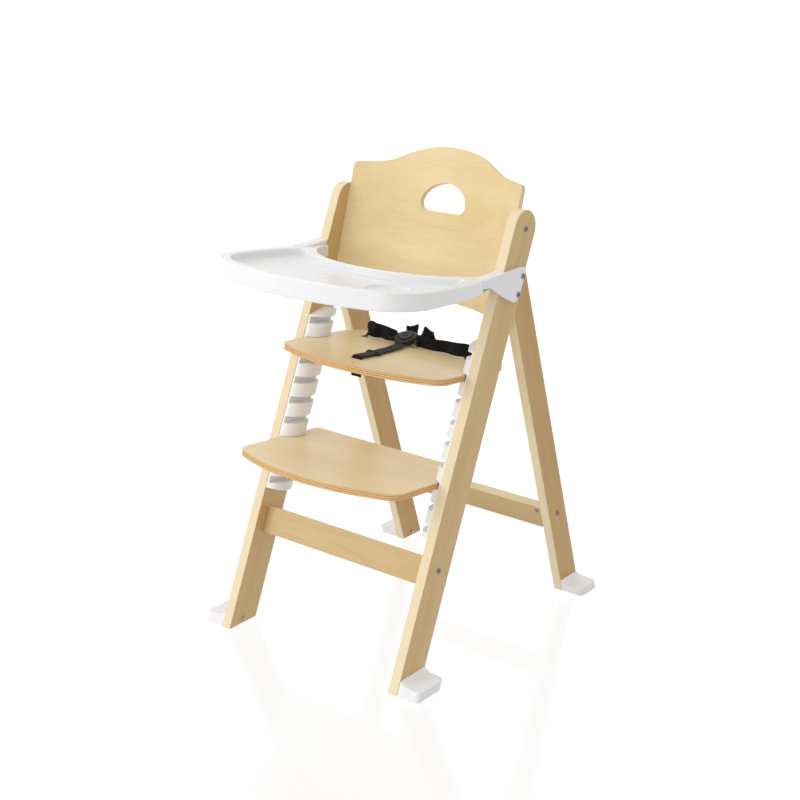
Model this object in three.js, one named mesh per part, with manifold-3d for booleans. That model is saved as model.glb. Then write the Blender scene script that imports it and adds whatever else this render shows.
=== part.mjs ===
// A wooden baby high chair: an A-frame of four ply legs, a bent ply backrest, a seat and a footrest
// that slide into slotted side rails, a clip-on plastic tray and a five-point harness.
// Millimetres. +Z is up, the child faces -Y, and "right" is +X. The floor is z = 0.
import * as THREE from "three";
import { mergeVertices } from "three/addons/utils/BufferGeometryUtils.js";
import Module from "manifold-3d";

const wasm = await Module();
wasm.setup();

// ---------- Driving dimensions ----------
const WIDTH_OVER_LEGS = 440;
const LEG_THICKNESS = 20;
const LEG_HEIGHT = 841;
const FRONT_LEG_WIDTH = 70;
const FRONT_LEG_LEAN = 22.58; // degrees back from upright
const REAR_LEG_WIDTH = 60;
const REAR_LEG_LEAN = 18.93; // degrees forward from upright
const REAR_LEG_TOP_DROP = 110; // leg top down to where the rear leg's back edge meets it

const CROSSBAR_HEIGHT = 53;
const CROSSBAR_THICKNESS = 20;
const FRONT_CROSSBAR_Z = 198;
const FRONT_CROSSBAR_BOLT_RISE = 9; // bolt above the bar's centre line
const REAR_CROSSBAR_Z = 172;
const REAR_CROSSBAR_BOLT_RISE = 16;

const BOARD_TILT = 5.4; // degrees that the seat, footrest and tray rise towards the front
const BOARD_THICKNESS = 12;
const BOARD_FRONT_RADIUS = 410;
const BOARD_CORNER_RADIUS = 35;
const SEAT_REACH_FRONT = 155; // measured from the leg's centre line, along the board
const SEAT_REACH_REAR = 136;
const SEAT_REAR_CORNER_RADIUS = 72;
const FOOTREST_REACH_FRONT = 201;
const FOOTREST_REACH_REAR = 77;
const FOOTREST_REAR_CORNER_RADIUS = 10;

const TOP_SLOT_DROP = 258.8; // leg top down to the highest slot
const SLOT_PITCH = 37.6; // vertical distance between slots
const SEAT_SLOT = 1; // counted from the top, starting at 0
const FOOTREST_SLOT_FROM_BOTTOM = 2;
const RAIL_DEPTH = 28; // how far the rail stands off the leg at its thickest
const RAIL_BASE = 4; // wall left behind each slot
const RAIL_FRONT_INSET = 1;
const RAIL_REAR_INSET = 4;
const RAIL_BAR_MARGIN = 22; // lowest slot to the front crossbar, at least

const BACKREST_THICKNESS = 12;
const BACKREST_LEAN = 16.44; // degrees back from upright
const BACKREST_SAG = 46; // depth of its curve
const BACKREST_BELOW_BOLT = 173; // along the panel, from its upper bolts
const BACKREST_SIDE_ABOVE_BOLT = 69;
const BACKREST_HUMP_ABOVE_BOLT = 133.5;
const BACKREST_CORNER_RADIUS = 12;
const HANDLE_HALF_WIDTH = 53;
const HANDLE_BOTTOM_ABOVE_BOLT = 7;
const HANDLE_HEIGHT = 56;

const TRAY_DROP = 107; // leg top down to the tray's rim where it meets the brackets
const TRAY_BRACKET_REACH = 71; // bracket's end in front of the leg
const TRAY_FRONT_REACH = 279; // rim, from the bracket's end forwards
const TRAY_SIDE_BULGE = 9.5; // how far the tray stands out beyond the brackets
const TRAY_FRONT_RADIUS = 560;
const TRAY_CORNER_RADIUS = 105;
const TRAY_BELLY_DEPTH = 74; // belly cut-out's middle, ahead of the bracket's end
const TRAY_RIM = 20;
const TRAY_WALL = 3;
const TRAY_PAN_DEPTH = 15;
const TRAY_SKIRT_FRONT = 36;
const TRAY_SKIRT_REAR = 25;
const TRAY_CUP_RADIUS = 41;
const TRAY_CUP_DEPTH = 5;
const TRAY_CUP_CENTRE = [125, -148];
const TONGUE_LENGTH = 55;
const TONGUE_WIDTH = 9;
const TONGUE_HEIGHT = 11.5;
const BRACKET_PLATE = 6;
const BRACKET_ARM_HEIGHT = 15;
const LATCH_LENGTH = 44;
const LATCH_WIDTH = 12;

const FOOT_REACH = 47.8; // out from the leg's outer face
const FOOT_WALL_HEIGHT = 27;
const FOOT_PAD_HEIGHT = 18;
const FOOT_CORNER_RADIUS = 9;
const FOOT_SCREW_Z = 9;

const BOLT_RADIUS = 3;
const BOLT_HEAD_RADIUS = 5.5;
const BOLT_HEAD_HEIGHT = 2;
const HEX_SOCKET_RADIUS = 2.6;
const BARREL_NUT_RADIUS = 5;
const BARREL_NUT_LENGTH = 16;
const BARREL_NUT_INSET = 25; // from the crossbar's end
const SCREW_RADIUS = 2;
const SCREW_HEAD_RADIUS = 4;
const SCREW_HEAD_HEIGHT = 2.2;
const DOWEL_RADIUS = 3.5;
const BACK_BOLT_OFFSET = 2.5; // bolts lie behind the panel's middle, where its curve leaves them wood
const BACK_BOLT_GRIP = 10;
const FOOT_SCREW_GRIP = 12; // in the foot
const RAIL_SCREW_SLOTS = [0, 2, 4, 5]; // slots that hide a screw, besides the last one
const RAIL_SCREW_LENGTH = 15;
const BRACKET_BOLT_GRIP = 15; // in the leg
const BRACKET_BOLT_REAR_EDGE = 12.7; // across the leg, from its back edge
const BRACKET_BOLT_DROPS = [121, 153.5]; // below the leg's top

const STRAP_WIDTH = 30;
const CROTCH_STRAP_WIDTH = 25;
const STRAP_THICKNESS = 2.4;
const BUCKLE_RADIUS = 24;
const BUCKLE_HEIGHT = 11;
const BUCKLE_TILT = 20; // degrees its face turns up towards the front
const BUCKLE_BUTTON_RADIUS = 15;
const BUCKLE_BUTTON_PROUD = 2;
const BUCKLE_X = -30; // it lies a little to the child's right
const BUCKLE_BEHIND_LEG_LINE = 79; // along the seat
const BUCKLE_POCKET_DEPTH = 7;
const BUTTON_TRAVEL = 2.2;
const LAP_SLIT_X = 132;
const CROTCH_SLIT = [-12, -98]; // on the seat: across, and behind the leg's centre line
const ADJUSTER_Y = -45;
const TAG_CENTRE = [19, -133];
const STRAP_TAIL = 10; // strap left hanging under the seat
const LEFT_LAP_RISE = 31; // how high each lap strap stands, on its edge, above its slit
const RIGHT_LAP_RISE = 27;
const LAP_RISE_AT_BUCKLE = 24;
const SHOULDER_LOOP_SPREAD = 17; // each side of the buckle's middle
const SHOULDER_LOOP_TURN = 16; // degrees outwards
const SHOULDER_LOOP_RISE = 36;

const TOUCH_GAP = 0.3; // between pieces that touch
const HOLE_CLEARANCE = 0.3; // on the radius
const SLOT_CLEARANCE = 0.75; // above and below a board in its slot
const BOARD_SIDE_CLEARANCE = 2; // board's edge to the slot's bottom
const TONGUE_CLEARANCE = 1.2; // tongue to the tray around it
const SLIT_CLEARANCE = 1.3; // strap to the slit it passes through

// ---------- Dependent dimensions ----------
const rad = THREE.MathUtils.degToRad;
const legOuter = WIDTH_OVER_LEGS / 2;
const legInner = legOuter - LEG_THICKNESS;
const panelHalf = legInner - TOUCH_GAP; // half length of what spans between the legs
const frontLean = rad(FRONT_LEG_LEAN);
const rearLean = rad(REAR_LEG_LEAN);
const tilt = rad(BOARD_TILT);
const frontSlope = Math.tan(frontLean);
const rearSlope = Math.tan(rearLean);
const frontFloorWidth = FRONT_LEG_WIDTH / Math.cos(frontLean);
const rearFloorWidth = REAR_LEG_WIDTH / Math.cos(rearLean);
const frontLegTopZ = LEG_HEIGHT - FRONT_LEG_WIDTH / 2; // centre of its round top
const frontEdgeY = (z) => frontSlope * z;
const frontCentreY = (z) => frontEdgeY(z) + frontFloorWidth / 2;
const frontBackY = (z) => frontEdgeY(z) + frontFloorWidth;
const jointZ = LEG_HEIGHT - REAR_LEG_TOP_DROP;
const rearHeelY = frontBackY(jointZ) + rearSlope * jointZ; // rear leg's back corner on the floor
const rearBackY = (z) => rearHeelY - rearSlope * z;
const rearCentreY = (z) => rearBackY(z) - rearFloorWidth / 2;

const topSlotZ = LEG_HEIGHT - TOP_SLOT_DROP;
const crossbarTopZ = FRONT_CROSSBAR_Z + CROSSBAR_HEIGHT / 2;
const slotCount = 1 + Math.floor((topSlotZ - crossbarTopZ - RAIL_BAR_MARGIN) / SLOT_PITCH);
const slotZ = (index) => topSlotZ - index * SLOT_PITCH;
const footrestSlot = slotCount - 1 - FOOTREST_SLOT_FROM_BOTTOM;
const slotHeight = BOARD_THICKNESS + 2 * SLOT_CLEARANCE;
const slotBottomX = legInner - TOUCH_GAP - RAIL_BASE;
const boardHalf = slotBottomX - BOARD_SIDE_CLEARANCE;

const trayZ = LEG_HEIGHT - TRAY_DROP;
const trayY = frontEdgeY(trayZ) - TRAY_BRACKET_REACH;
const bracketOuter = legOuter + TOUCH_GAP + BRACKET_PLATE;
const trayHalf = bracketOuter + TRAY_SIDE_BULGE;

// ---------- Materials ----------
const finish = (color, roughness, metalness = 0) => ({ color, roughness, metalness });
const BIRCH = finish("#dfc596", 0.5);
const WHITE_PLASTIC = finish("#f1f1f0", 0.3);
const GREY_PLASTIC = finish("#a9b0ba", 0.45);
const STEEL = finish("#8f9193", 0.35, 0.9);
const WEBBING = finish("#111112", 0.9);
const BLACK_PLASTIC = finish("#18191a", 0.45);
const BEECH_DOWEL = finish("#c9a571", 0.7);

// ---------- Solid helpers ----------
function toSolid(geometry) {
  const flat = geometry.index ? geometry.toNonIndexed() : geometry;
  const bare = new THREE.BufferGeometry().setAttribute("position", flat.getAttribute("position"));
  const merged = mergeVertices(bare, 1e-4);
  return new wasm.Manifold(
    new wasm.Mesh({
      numProp: 3,
      vertProperties: merged.attributes.position.array,
      triVerts: new Uint32Array(merged.index.array),
    }),
  );
}

function toGeometry(solid) {
  const { vertProperties, triVerts } = solid.getMesh();
  const geometry = new THREE.BufferGeometry();
  geometry.setAttribute("position", new THREE.BufferAttribute(vertProperties, 3));
  geometry.setIndex(new THREE.BufferAttribute(triVerts, 1));
  geometry.computeVertexNormals();
  return geometry;
}

const combine = (operation) => (first, ...others) =>
  toGeometry(others.reduce((solid, next) => solid[operation](toSolid(next)), toSolid(first)));
const cut = combine("subtract");
const join = combine("add");
const overlap = combine("intersect");

// An outline extruded along Z, without the doubled points that arcs leave where they join.
function extrude(shape, depth, curveSegments) {
  const { shape: outer, holes } = shape.extractPoints(curveSegments);
  const tidy = (points) =>
    points.filter((point, index) => point.distanceTo(points[(index + 1) % points.length]) > 1e-3);
  const clean = new THREE.Shape(tidy(outer));
  clean.holes = holes.map((hole) => new THREE.Path(tidy(hole)));
  return new THREE.ExtrudeGeometry(clean, { depth, bevelEnabled: false });
}

// An outline in (y, z) made into a plate from x0 to x1.
const SIDE_BASIS = new THREE.Matrix4().makeBasis(
  new THREE.Vector3(0, 1, 0),
  new THREE.Vector3(0, 0, 1),
  new THREE.Vector3(1, 0, 0),
);
function sidePlate(shape, x0, x1, curveSegments = 12) {
  return extrude(shape, x1 - x0, curveSegments).applyMatrix4(SIDE_BASIS).translate(x0, 0, 0);
}

// An outline in (x, y) made into a plate from z0 to z1.
function flatPlate(shape, z0, z1, curveSegments = 12) {
  return extrude(shape, z1 - z0, curveSegments).translate(0, 0, z0);
}

// An outline in (x, z) made into a plate from y0 to y1.
function frontPlate(shape, y0, y1, curveSegments = 12) {
  return extrude(shape, y1 - y0, curveSegments).rotateX(Math.PI / 2).translate(0, y1, 0);
}

function box(x0, x1, y0, y1, z0, z1) {
  const block = new THREE.BoxGeometry(x1 - x0, y1 - y0, z1 - z0);
  return block.translate((x0 + x1) / 2, (y0 + y1) / 2, (z0 + z1) / 2);
}

const polygon = (...points) => new THREE.Shape(points.map(([x, y]) => new THREE.Vector2(x, y)));

// A round bore along X.
function boreX(y, z, radius, x0, x1) {
  const bore = new THREE.CylinderGeometry(radius, radius, x1 - x0, 14);
  return bore.rotateZ(-Math.PI / 2).translate((x0 + x1) / 2, y, z);
}

// A strap seen from its side: a centre line of (u, v) points, given a thickness.
function strapShape(points, thickness = STRAP_THICKNESS, steps = 14) {
  const curve = new THREE.SplineCurve(points.map(([u, v]) => new THREE.Vector2(u, v)));
  const upper = [];
  const lower = [];
  for (let step = 0; step <= steps; step++) {
    const point = curve.getPoint(step / steps);
    const tangent = curve.getTangent(step / steps);
    const across = new THREE.Vector2(-tangent.y, tangent.x).multiplyScalar(thickness / 2);
    upper.push(point.clone().add(across));
    lower.unshift(point.clone().sub(across));
  }
  return new THREE.Shape([...upper, ...lower]);
}

// ---------- Scene helpers ----------
const chair = new THREE.Group();

function add(parent, name, geometry, material) {
  const mesh = new THREE.Mesh(geometry, new THREE.MeshStandardMaterial(material));
  mesh.name = name;
  parent.add(mesh);
  return mesh;
}

// Each right-hand piece and its mirror image.
function addPair(parent, name, geometry, material, suffix = "") {
  for (const [side, sign] of [["right", 1], ["left", -1]]) {
    add(parent, `${name}_${side}${suffix}`, geometry, material).scale.x = sign;
  }
}

function tiltedGroup(y, z, angle) {
  const group = new THREE.Group();
  group.position.set(0, y, z);
  group.rotation.x = angle;
  chair.add(group);
  return group;
}

// A point given in a tilted group, as (y, z) in the chair's frame.
function fromTilted(y, z, angle, localY, localZ) {
  return [
    y + localY * Math.cos(angle) - localZ * Math.sin(angle),
    z + localY * Math.sin(angle) + localZ * Math.cos(angle),
  ];
}

// ---------- Fasteners, along X with the head outwards at x = 0 ----------
function socketBolt(length) {
  const half = BOLT_HEAD_HEIGHT / 2;
  const outline = [
    [0, -length],
    [BOLT_RADIUS, -length],
    [BOLT_RADIUS, TOUCH_GAP],
    [BOLT_HEAD_RADIUS, TOUCH_GAP],
    [BOLT_HEAD_RADIUS, half],
    [BOLT_HEAD_RADIUS - half, BOLT_HEAD_HEIGHT],
    [0, BOLT_HEAD_HEIGHT],
  ].map(([radius, along]) => new THREE.Vector2(radius, along));
  const bolt = new THREE.LatheGeometry(outline, 16);
  const socket = new THREE.CylinderGeometry(HEX_SOCKET_RADIUS, HEX_SOCKET_RADIUS, 2 * BOLT_HEAD_HEIGHT, 6);
  return cut(bolt, socket.translate(0, BOLT_HEAD_HEIGHT, 0)).rotateZ(-Math.PI / 2);
}

function countersunkScrew(length) {
  const outline = [
    [0, -length],
    [SCREW_RADIUS, SCREW_RADIUS - length],
    [SCREW_RADIUS, -SCREW_HEAD_HEIGHT],
    [SCREW_HEAD_RADIUS, -0.4],
    [SCREW_HEAD_RADIUS, 0],
    [0, 0],
  ].map(([radius, along]) => new THREE.Vector2(radius, along));
  return new THREE.LatheGeometry(outline, 12).rotateZ(-Math.PI / 2);
}

// ---------- Backrest, in a frame with +Z up the panel and the upper bolts at z = 0 ----------
const backLean = rad(BACKREST_LEAN);
const backY = frontCentreY(frontLegTopZ);
const backDowelDrop = BACKREST_BELOW_BOLT - 28;
const [backBoltY, backBoltZ] = fromTilted(backY, frontLegTopZ, -backLean, BACK_BOLT_OFFSET, 0);
const [backDowelY, backDowelZ] = fromTilted(backY, frontLegTopZ, -backLean, BACK_BOLT_OFFSET, -backDowelDrop);

function backrestOutline() {
  const half = panelHalf;
  const corner = BACKREST_CORNER_RADIUS;
  const bottomCorner = 3 * corner;
  const side = BACKREST_SIDE_ABOVE_BOLT;
  const shoulder = side + corner - 2;
  const hump = BACKREST_HUMP_ABOVE_BOLT;
  const bottom = -BACKREST_BELOW_BOLT;
  const bottomRise = BACKREST_SAG * Math.sin(backLean); // keeps the bottom edge level across the curve
  const shape = new THREE.Shape();
  shape.moveTo(0, bottom + bottomRise);
  shape.quadraticCurveTo(half / 2, bottom + bottomRise, half - bottomCorner, bottom + 2);
  shape.quadraticCurveTo(half, bottom - 1, half, bottom + bottomCorner);
  shape.lineTo(half, side);
  shape.quadraticCurveTo(half, shoulder, half - corner, shoulder + 1);
  shape.lineTo(150, shoulder + 8);
  shape.bezierCurveTo(118, shoulder + 14, 104, hump - 24, 76, hump - 14);
  shape.bezierCurveTo(48, hump - 3, 22, hump, 0, hump);
  const right = shape.getPoints(10);
  const left = right.slice(1, -1).map((point) => new THREE.Vector2(-point.x, point.y)).reverse();
  return new THREE.Shape([...right, ...left]);
}

function handleOutline() {
  const half = HANDLE_HALF_WIDTH;
  const bottom = HANDLE_BOTTOM_ABOVE_BOLT;
  const waist = bottom + 18;
  const shape = new THREE.Shape();
  shape.moveTo(0, bottom);
  shape.lineTo(half - 18, bottom);
  shape.quadraticCurveTo(half, bottom, half, waist);
  shape.bezierCurveTo(half - 4, waist + 24, 24, bottom + HANDLE_HEIGHT, 0, bottom + HANDLE_HEIGHT);
  const right = shape.getPoints(6);
  const left = right.slice(1, -1).map((point) => new THREE.Vector2(-point.x, point.y)).reverse();
  return new THREE.Shape([...right, ...left]);
}

function backrest() {
  const front = -BACKREST_THICKNESS / 2;
  const radius = (panelHalf ** 2 + BACKREST_SAG ** 2) / (2 * BACKREST_SAG);
  const centreY = front + BACKREST_SAG - radius;
  const sweep = Math.asin(panelHalf / radius) + rad(3);
  const section = new THREE.Shape();
  section.absarc(0, centreY, radius + BACKREST_THICKNESS, Math.PI / 2 - sweep, Math.PI / 2 + sweep, false);
  section.absarc(0, centreY, radius, Math.PI / 2 + sweep, Math.PI / 2 - sweep, true);
  const strip = flatPlate(section, -BACKREST_BELOW_BOLT - 10, BACKREST_HUMP_ABOVE_BOLT + 10, 20);
  const y0 = front - 10;
  const y1 = front + BACKREST_SAG + BACKREST_THICKNESS + 10;
  const bores = [1, -1].flatMap((sign) => {
    const x0 = sign > 0 ? panelHalf - BACK_BOLT_GRIP - 1 : -panelHalf - 1;
    const x1 = x0 + BACK_BOLT_GRIP + 2;
    return [
      boreX(BACK_BOLT_OFFSET, 0, BOLT_RADIUS + HOLE_CLEARANCE, x0, x1),
      boreX(BACK_BOLT_OFFSET, -backDowelDrop, DOWEL_RADIUS + HOLE_CLEARANCE, x0, x1),
    ];
  });
  const panel = overlap(strip, frontPlate(backrestOutline(), y0, y1, 1));
  return cut(panel, frontPlate(handleOutline(), y0, y1, 1), ...bores);
}

// ---------- Crossbars, in frames that lean with their legs ----------
const barRadius = BOLT_RADIUS + HOLE_CLEARANCE;
const barBoltLength = LEG_THICKNESS + BARREL_NUT_INSET + BARREL_NUT_RADIUS + 3;

function crossbar(boltRise, nutSide) {
  const halfThick = CROSSBAR_THICKNESS / 2;
  const halfHigh = CROSSBAR_HEIGHT / 2;
  const bar = box(-panelHalf, panelHalf, -halfThick, halfThick, -halfHigh, halfHigh);
  const nutX = legInner - BARREL_NUT_INSET;
  const bores = [1, -1].flatMap((sign) => {
    const inner = legInner + LEG_THICKNESS - barBoltLength - 1;
    const ends = [sign * inner, sign * (panelHalf + 1)].sort((a, b) => a - b);
    const bore = boreX(0, boltRise, barRadius, ...ends);
    const radius = BARREL_NUT_RADIUS + HOLE_CLEARANCE;
    const nutBore = new THREE.CylinderGeometry(radius, radius, BARREL_NUT_LENGTH + 1, 16);
    const nutY = nutSide * (halfThick + 0.5 - BARREL_NUT_LENGTH / 2);
    return [bore, nutBore.translate(sign * nutX, nutY, boltRise)];
  });
  return cut(bar, ...bores);
}

function barrelNut(nutSide) {
  const nut = new THREE.CylinderGeometry(BARREL_NUT_RADIUS, BARREL_NUT_RADIUS, BARREL_NUT_LENGTH - 1, 16);
  const slot = box(-BARREL_NUT_RADIUS + 1, BARREL_NUT_RADIUS - 1, -0.6, 0.6, -0.6, 0.6);
  const centreY = nutSide * (CROSSBAR_THICKNESS / 2 - BARREL_NUT_LENGTH / 2);
  const faceY = centreY + (nutSide * (BARREL_NUT_LENGTH - 1)) / 2;
  const placed = nut.translate(0, centreY, 0);
  return cut(placed, boreX(0, 0, barRadius, -20, 20), slot.translate(0, faceY, 0));
}

function addCrossbar(name, y, z, angle, boltRise, nutSide) {
  const group = tiltedGroup(y, z, angle);
  add(group, `${name}_crossbar`, crossbar(boltRise, nutSide), BIRCH);
  const bolt = socketBolt(barBoltLength).translate(legOuter, 0, boltRise);
  const nut = barrelNut(nutSide).translate(legInner - BARREL_NUT_INSET, 0, boltRise);
  addPair(group, `${name}_crossbar_bolt`, bolt, STEEL);
  addPair(group, `${name}_barrel_nut`, nut, STEEL);
  return fromTilted(y, z, angle, 0, boltRise);
}

const frontBarY = frontCentreY(FRONT_CROSSBAR_Z);
const rearBarY = rearCentreY(REAR_CROSSBAR_Z);
const frontBolt = addCrossbar("front", frontBarY, FRONT_CROSSBAR_Z, -frontLean, FRONT_CROSSBAR_BOLT_RISE, 1);
const rearBolt = addCrossbar("rear", rearBarY, REAR_CROSSBAR_Z, rearLean, REAR_CROSSBAR_BOLT_RISE, -1);

// ---------- Legs ----------
const railScrewSlots = [...RAIL_SCREW_SLOTS.filter((index) => index < slotCount - 1), slotCount - 1];
const railScrewEnd = legInner + RAIL_SCREW_LENGTH - RAIL_BASE;
const bracketBolts = BRACKET_BOLT_DROPS.map((drop) => {
  const z = LEG_HEIGHT - drop;
  return [frontBackY(z) - BRACKET_BOLT_REAR_EDGE / Math.cos(frontLean), z];
});

function frontLeg() {
  const radius = FRONT_LEG_WIDTH / 2;
  const shape = new THREE.Shape();
  shape.moveTo(0, 0);
  shape.lineTo(frontFloorWidth, 0);
  shape.absarc(frontCentreY(frontLegTopZ), frontLegTopZ, radius, -frontLean, Math.PI - frontLean, false);
  const boltRadius = BOLT_RADIUS + HOLE_CLEARANCE;
  const screwRadius = SCREW_RADIUS + HOLE_CLEARANCE;
  const through = [legInner - 1, legOuter + 1];
  const bores = [
    boreX(backBoltY, backBoltZ, boltRadius, ...through),
    boreX(...frontBolt, boltRadius, ...through),
    boreX(frontCentreY(FOOT_SCREW_Z), FOOT_SCREW_Z, screwRadius, ...through),
    boreX(backDowelY, backDowelZ, DOWEL_RADIUS + HOLE_CLEARANCE, legInner - 1, legInner + BACK_BOLT_GRIP),
    ...bracketBolts.map(([y, z]) => boreX(y, z, boltRadius, legOuter - BRACKET_BOLT_GRIP - 1, legOuter + 1)),
    ...railScrewSlots.map((index) => {
      const z = slotZ(index);
      return boreX(frontCentreY(z), z, screwRadius, legInner - 1, railScrewEnd + 1);
    }),
  ];
  return cut(sidePlate(shape, legInner, legOuter, 14), ...bores);
}

function rearLeg() {
  const meets = (edgeY0) => {
    const z = (edgeY0 - frontFloorWidth - TOUCH_GAP / Math.cos(frontLean)) / (frontSlope + rearSlope);
    return [edgeY0 - rearSlope * z, z];
  };
  const toeY = rearHeelY - rearFloorWidth;
  const shape = polygon([toeY, 0], [rearHeelY, 0], meets(rearHeelY), meets(toeY));
  return cut(
    sidePlate(shape, legInner, legOuter),
    boreX(...rearBolt, BOLT_RADIUS + HOLE_CLEARANCE, legInner - 1, legOuter + 1),
    boreX(rearCentreY(FOOT_SCREW_Z), FOOT_SCREW_Z, SCREW_RADIUS + HOLE_CLEARANCE, legInner - 1, legOuter + 1),
  );
}

addPair(chair, "front_leg", frontLeg(), BIRCH);
addPair(chair, "rear_leg", rearLeg(), BIRCH);

// ---------- Feet: a wall against the leg that sweeps down to a pad, leaning with the leg ----------
function foot(centreY, floorWidth, slope) {
  const inner = legOuter + TOUCH_GAP;
  const outer = legOuter + FOOT_REACH;
  const profile = new THREE.Shape();
  profile.moveTo(inner, 0);
  profile.lineTo(outer, 0);
  profile.lineTo(outer, FOOT_PAD_HEIGHT - 1.5);
  profile.quadraticCurveTo(outer, FOOT_PAD_HEIGHT, outer - 3, FOOT_PAD_HEIGHT + 0.3);
  profile.lineTo(inner + 18, FOOT_PAD_HEIGHT + 0.8);
  profile.quadraticCurveTo(inner + 6, FOOT_PAD_HEIGHT + 2, inner + 1.8, FOOT_WALL_HEIGHT);
  profile.lineTo(inner, FOOT_WALL_HEIGHT);
  const y0 = centreY(0) - floorWidth / 2 + 1;
  const y1 = y0 + floorWidth - 2;
  const corner = FOOT_CORNER_RADIUS;
  const plan = new THREE.Shape();
  plan.moveTo(inner, y0);
  plan.lineTo(outer - corner, y0);
  plan.absarc(outer - corner, y0 + corner, corner, -Math.PI / 2, 0, false);
  plan.absarc(outer - corner, y1 - corner, corner, 0, Math.PI / 2, false);
  plan.lineTo(inner, y1);
  const body = overlap(frontPlate(profile, y0, y1, 5), flatPlate(plan, 0, FOOT_WALL_HEIGHT, 5));
  const lean = new THREE.Matrix4().makeShear(0, 0, 0, 0, 0, slope);
  const boreRadius = SCREW_RADIUS + HOLE_CLEARANCE;
  const boreEnd = inner + FOOT_SCREW_GRIP + 1;
  const bore = boreX(centreY(FOOT_SCREW_Z), FOOT_SCREW_Z, boreRadius, inner - 1, boreEnd);
  return cut(body.applyMatrix4(lean), bore);
}

function addFeet(name, centreY, floorWidth, slope) {
  addPair(chair, `${name}_foot`, foot(centreY, floorWidth, slope), WHITE_PLASTIC);
  const screw = countersunkScrew(LEG_THICKNESS + FOOT_SCREW_GRIP).rotateZ(Math.PI);
  const inset = legInner - SCREW_HEAD_HEIGHT - TOUCH_GAP;
  const placed = screw.translate(inset, centreY(FOOT_SCREW_Z), FOOT_SCREW_Z);
  addPair(chair, `${name}_foot_screw`, placed, STEEL);
}

addFeet("front", frontCentreY, frontFloorWidth, frontSlope);
addFeet("rear", rearCentreY, rearFloorWidth, -rearSlope);

// ---------- Backrest and its fixings ----------
const backGroup = tiltedGroup(backY, frontLegTopZ, -backLean);
add(backGroup, "backrest", backrest(), BIRCH);
const backBolt = socketBolt(LEG_THICKNESS + BACK_BOLT_GRIP - 1);
addPair(chair, "backrest_bolt", backBolt.translate(legOuter, backBoltY, backBoltZ), STEEL);
const dowelEnds = [panelHalf + 1 - BACK_BOLT_GRIP, legInner + BACK_BOLT_GRIP - 1];
const dowel = boreX(backDowelY, backDowelZ, DOWEL_RADIUS, ...dowelEnds);
addPair(chair, "backrest_dowel", dowel, BEECH_DOWEL);

// ---------- Side rails: a half-oval bar up the leg's inner face, crossed by the board slots ----------
const railFaceX = legInner - TOUCH_GAP;

// Cuts the slot that a board rests in, following its tilt.
function slotCutter(index) {
  const reach = FRONT_LEG_WIDTH;
  const x0 = railFaceX - RAIL_DEPTH - 1;
  const cutter = box(x0, slotBottomX, -reach, reach, -slotHeight / 2, slotHeight / 2);
  return cutter.rotateX(-tilt).translate(0, frontCentreY(slotZ(index)), slotZ(index));
}

function sideRail() {
  const halfAcross = (FRONT_LEG_WIDTH - RAIL_FRONT_INSET - RAIL_REAR_INSET) / 2;
  const section = new THREE.Shape();
  const centreAcross = RAIL_FRONT_INSET + halfAcross;
  const start = Math.PI / 2;
  section.absellipse(railFaceX, centreAcross, RAIL_DEPTH, halfAcross, start, 3 * start, false, 0);
  const lastZ = slotZ(slotCount - 1);
  const spare = 60;
  const along = (z) => z / Math.cos(frontLean);
  const bar = flatPlate(section, along(lastZ) - spare, along(topSlotZ) + spare, 10).rotateX(-frontLean);
  const outline = new THREE.Shape();
  outline.moveTo(frontEdgeY(lastZ) - 10, lastZ - 10);
  outline.quadraticCurveTo(frontCentreY(lastZ), lastZ - 32, frontBackY(lastZ), lastZ - 18);
  outline.lineTo(frontBackY(topSlotZ), topSlotZ + 3);
  const topCentre = frontCentreY(topSlotZ);
  outline.quadraticCurveTo(frontBackY(topSlotZ) - 12, topSlotZ + 26, topCentre + 6, topSlotZ + 20);
  outline.quadraticCurveTo(topCentre - 14, topSlotZ + 18, frontEdgeY(topSlotZ) - 4, topSlotZ + 10);
  const ends = sidePlate(outline, railFaceX - RAIL_DEPTH - 1, legInner, 6);
  const slots = Array.from({ length: slotCount }, (_, index) => slotCutter(index));
  const bores = railScrewSlots.flatMap((index) => {
    const z = slotZ(index);
    const headEnd = slotBottomX + SCREW_HEAD_HEIGHT + HOLE_CLEARANCE;
    return [
      boreX(frontCentreY(z), z, SCREW_HEAD_RADIUS + HOLE_CLEARANCE, slotBottomX - 1, headEnd),
      boreX(frontCentreY(z), z, SCREW_RADIUS + HOLE_CLEARANCE, slotBottomX - 1, legInner),
    ];
  });
  return cut(overlap(bar, ends), ...slots, ...bores);
}

addPair(chair, "side_rail", sideRail(), WHITE_PLASTIC);
railScrewSlots.forEach((index, order) => {
  const z = slotZ(index);
  const screw = countersunkScrew(RAIL_SCREW_LENGTH).rotateZ(Math.PI);
  const placed = screw.translate(slotBottomX + TOUCH_GAP / 2, frontCentreY(z), z);
  addPair(chair, "rail_screw", placed, STEEL, `_${order + 1}`);
});

// ---------- Seat and footrest, in frames with +Y back along the board and z = 0 at mid-thickness ----------
const boardTop = BOARD_THICKNESS / 2;

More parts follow.
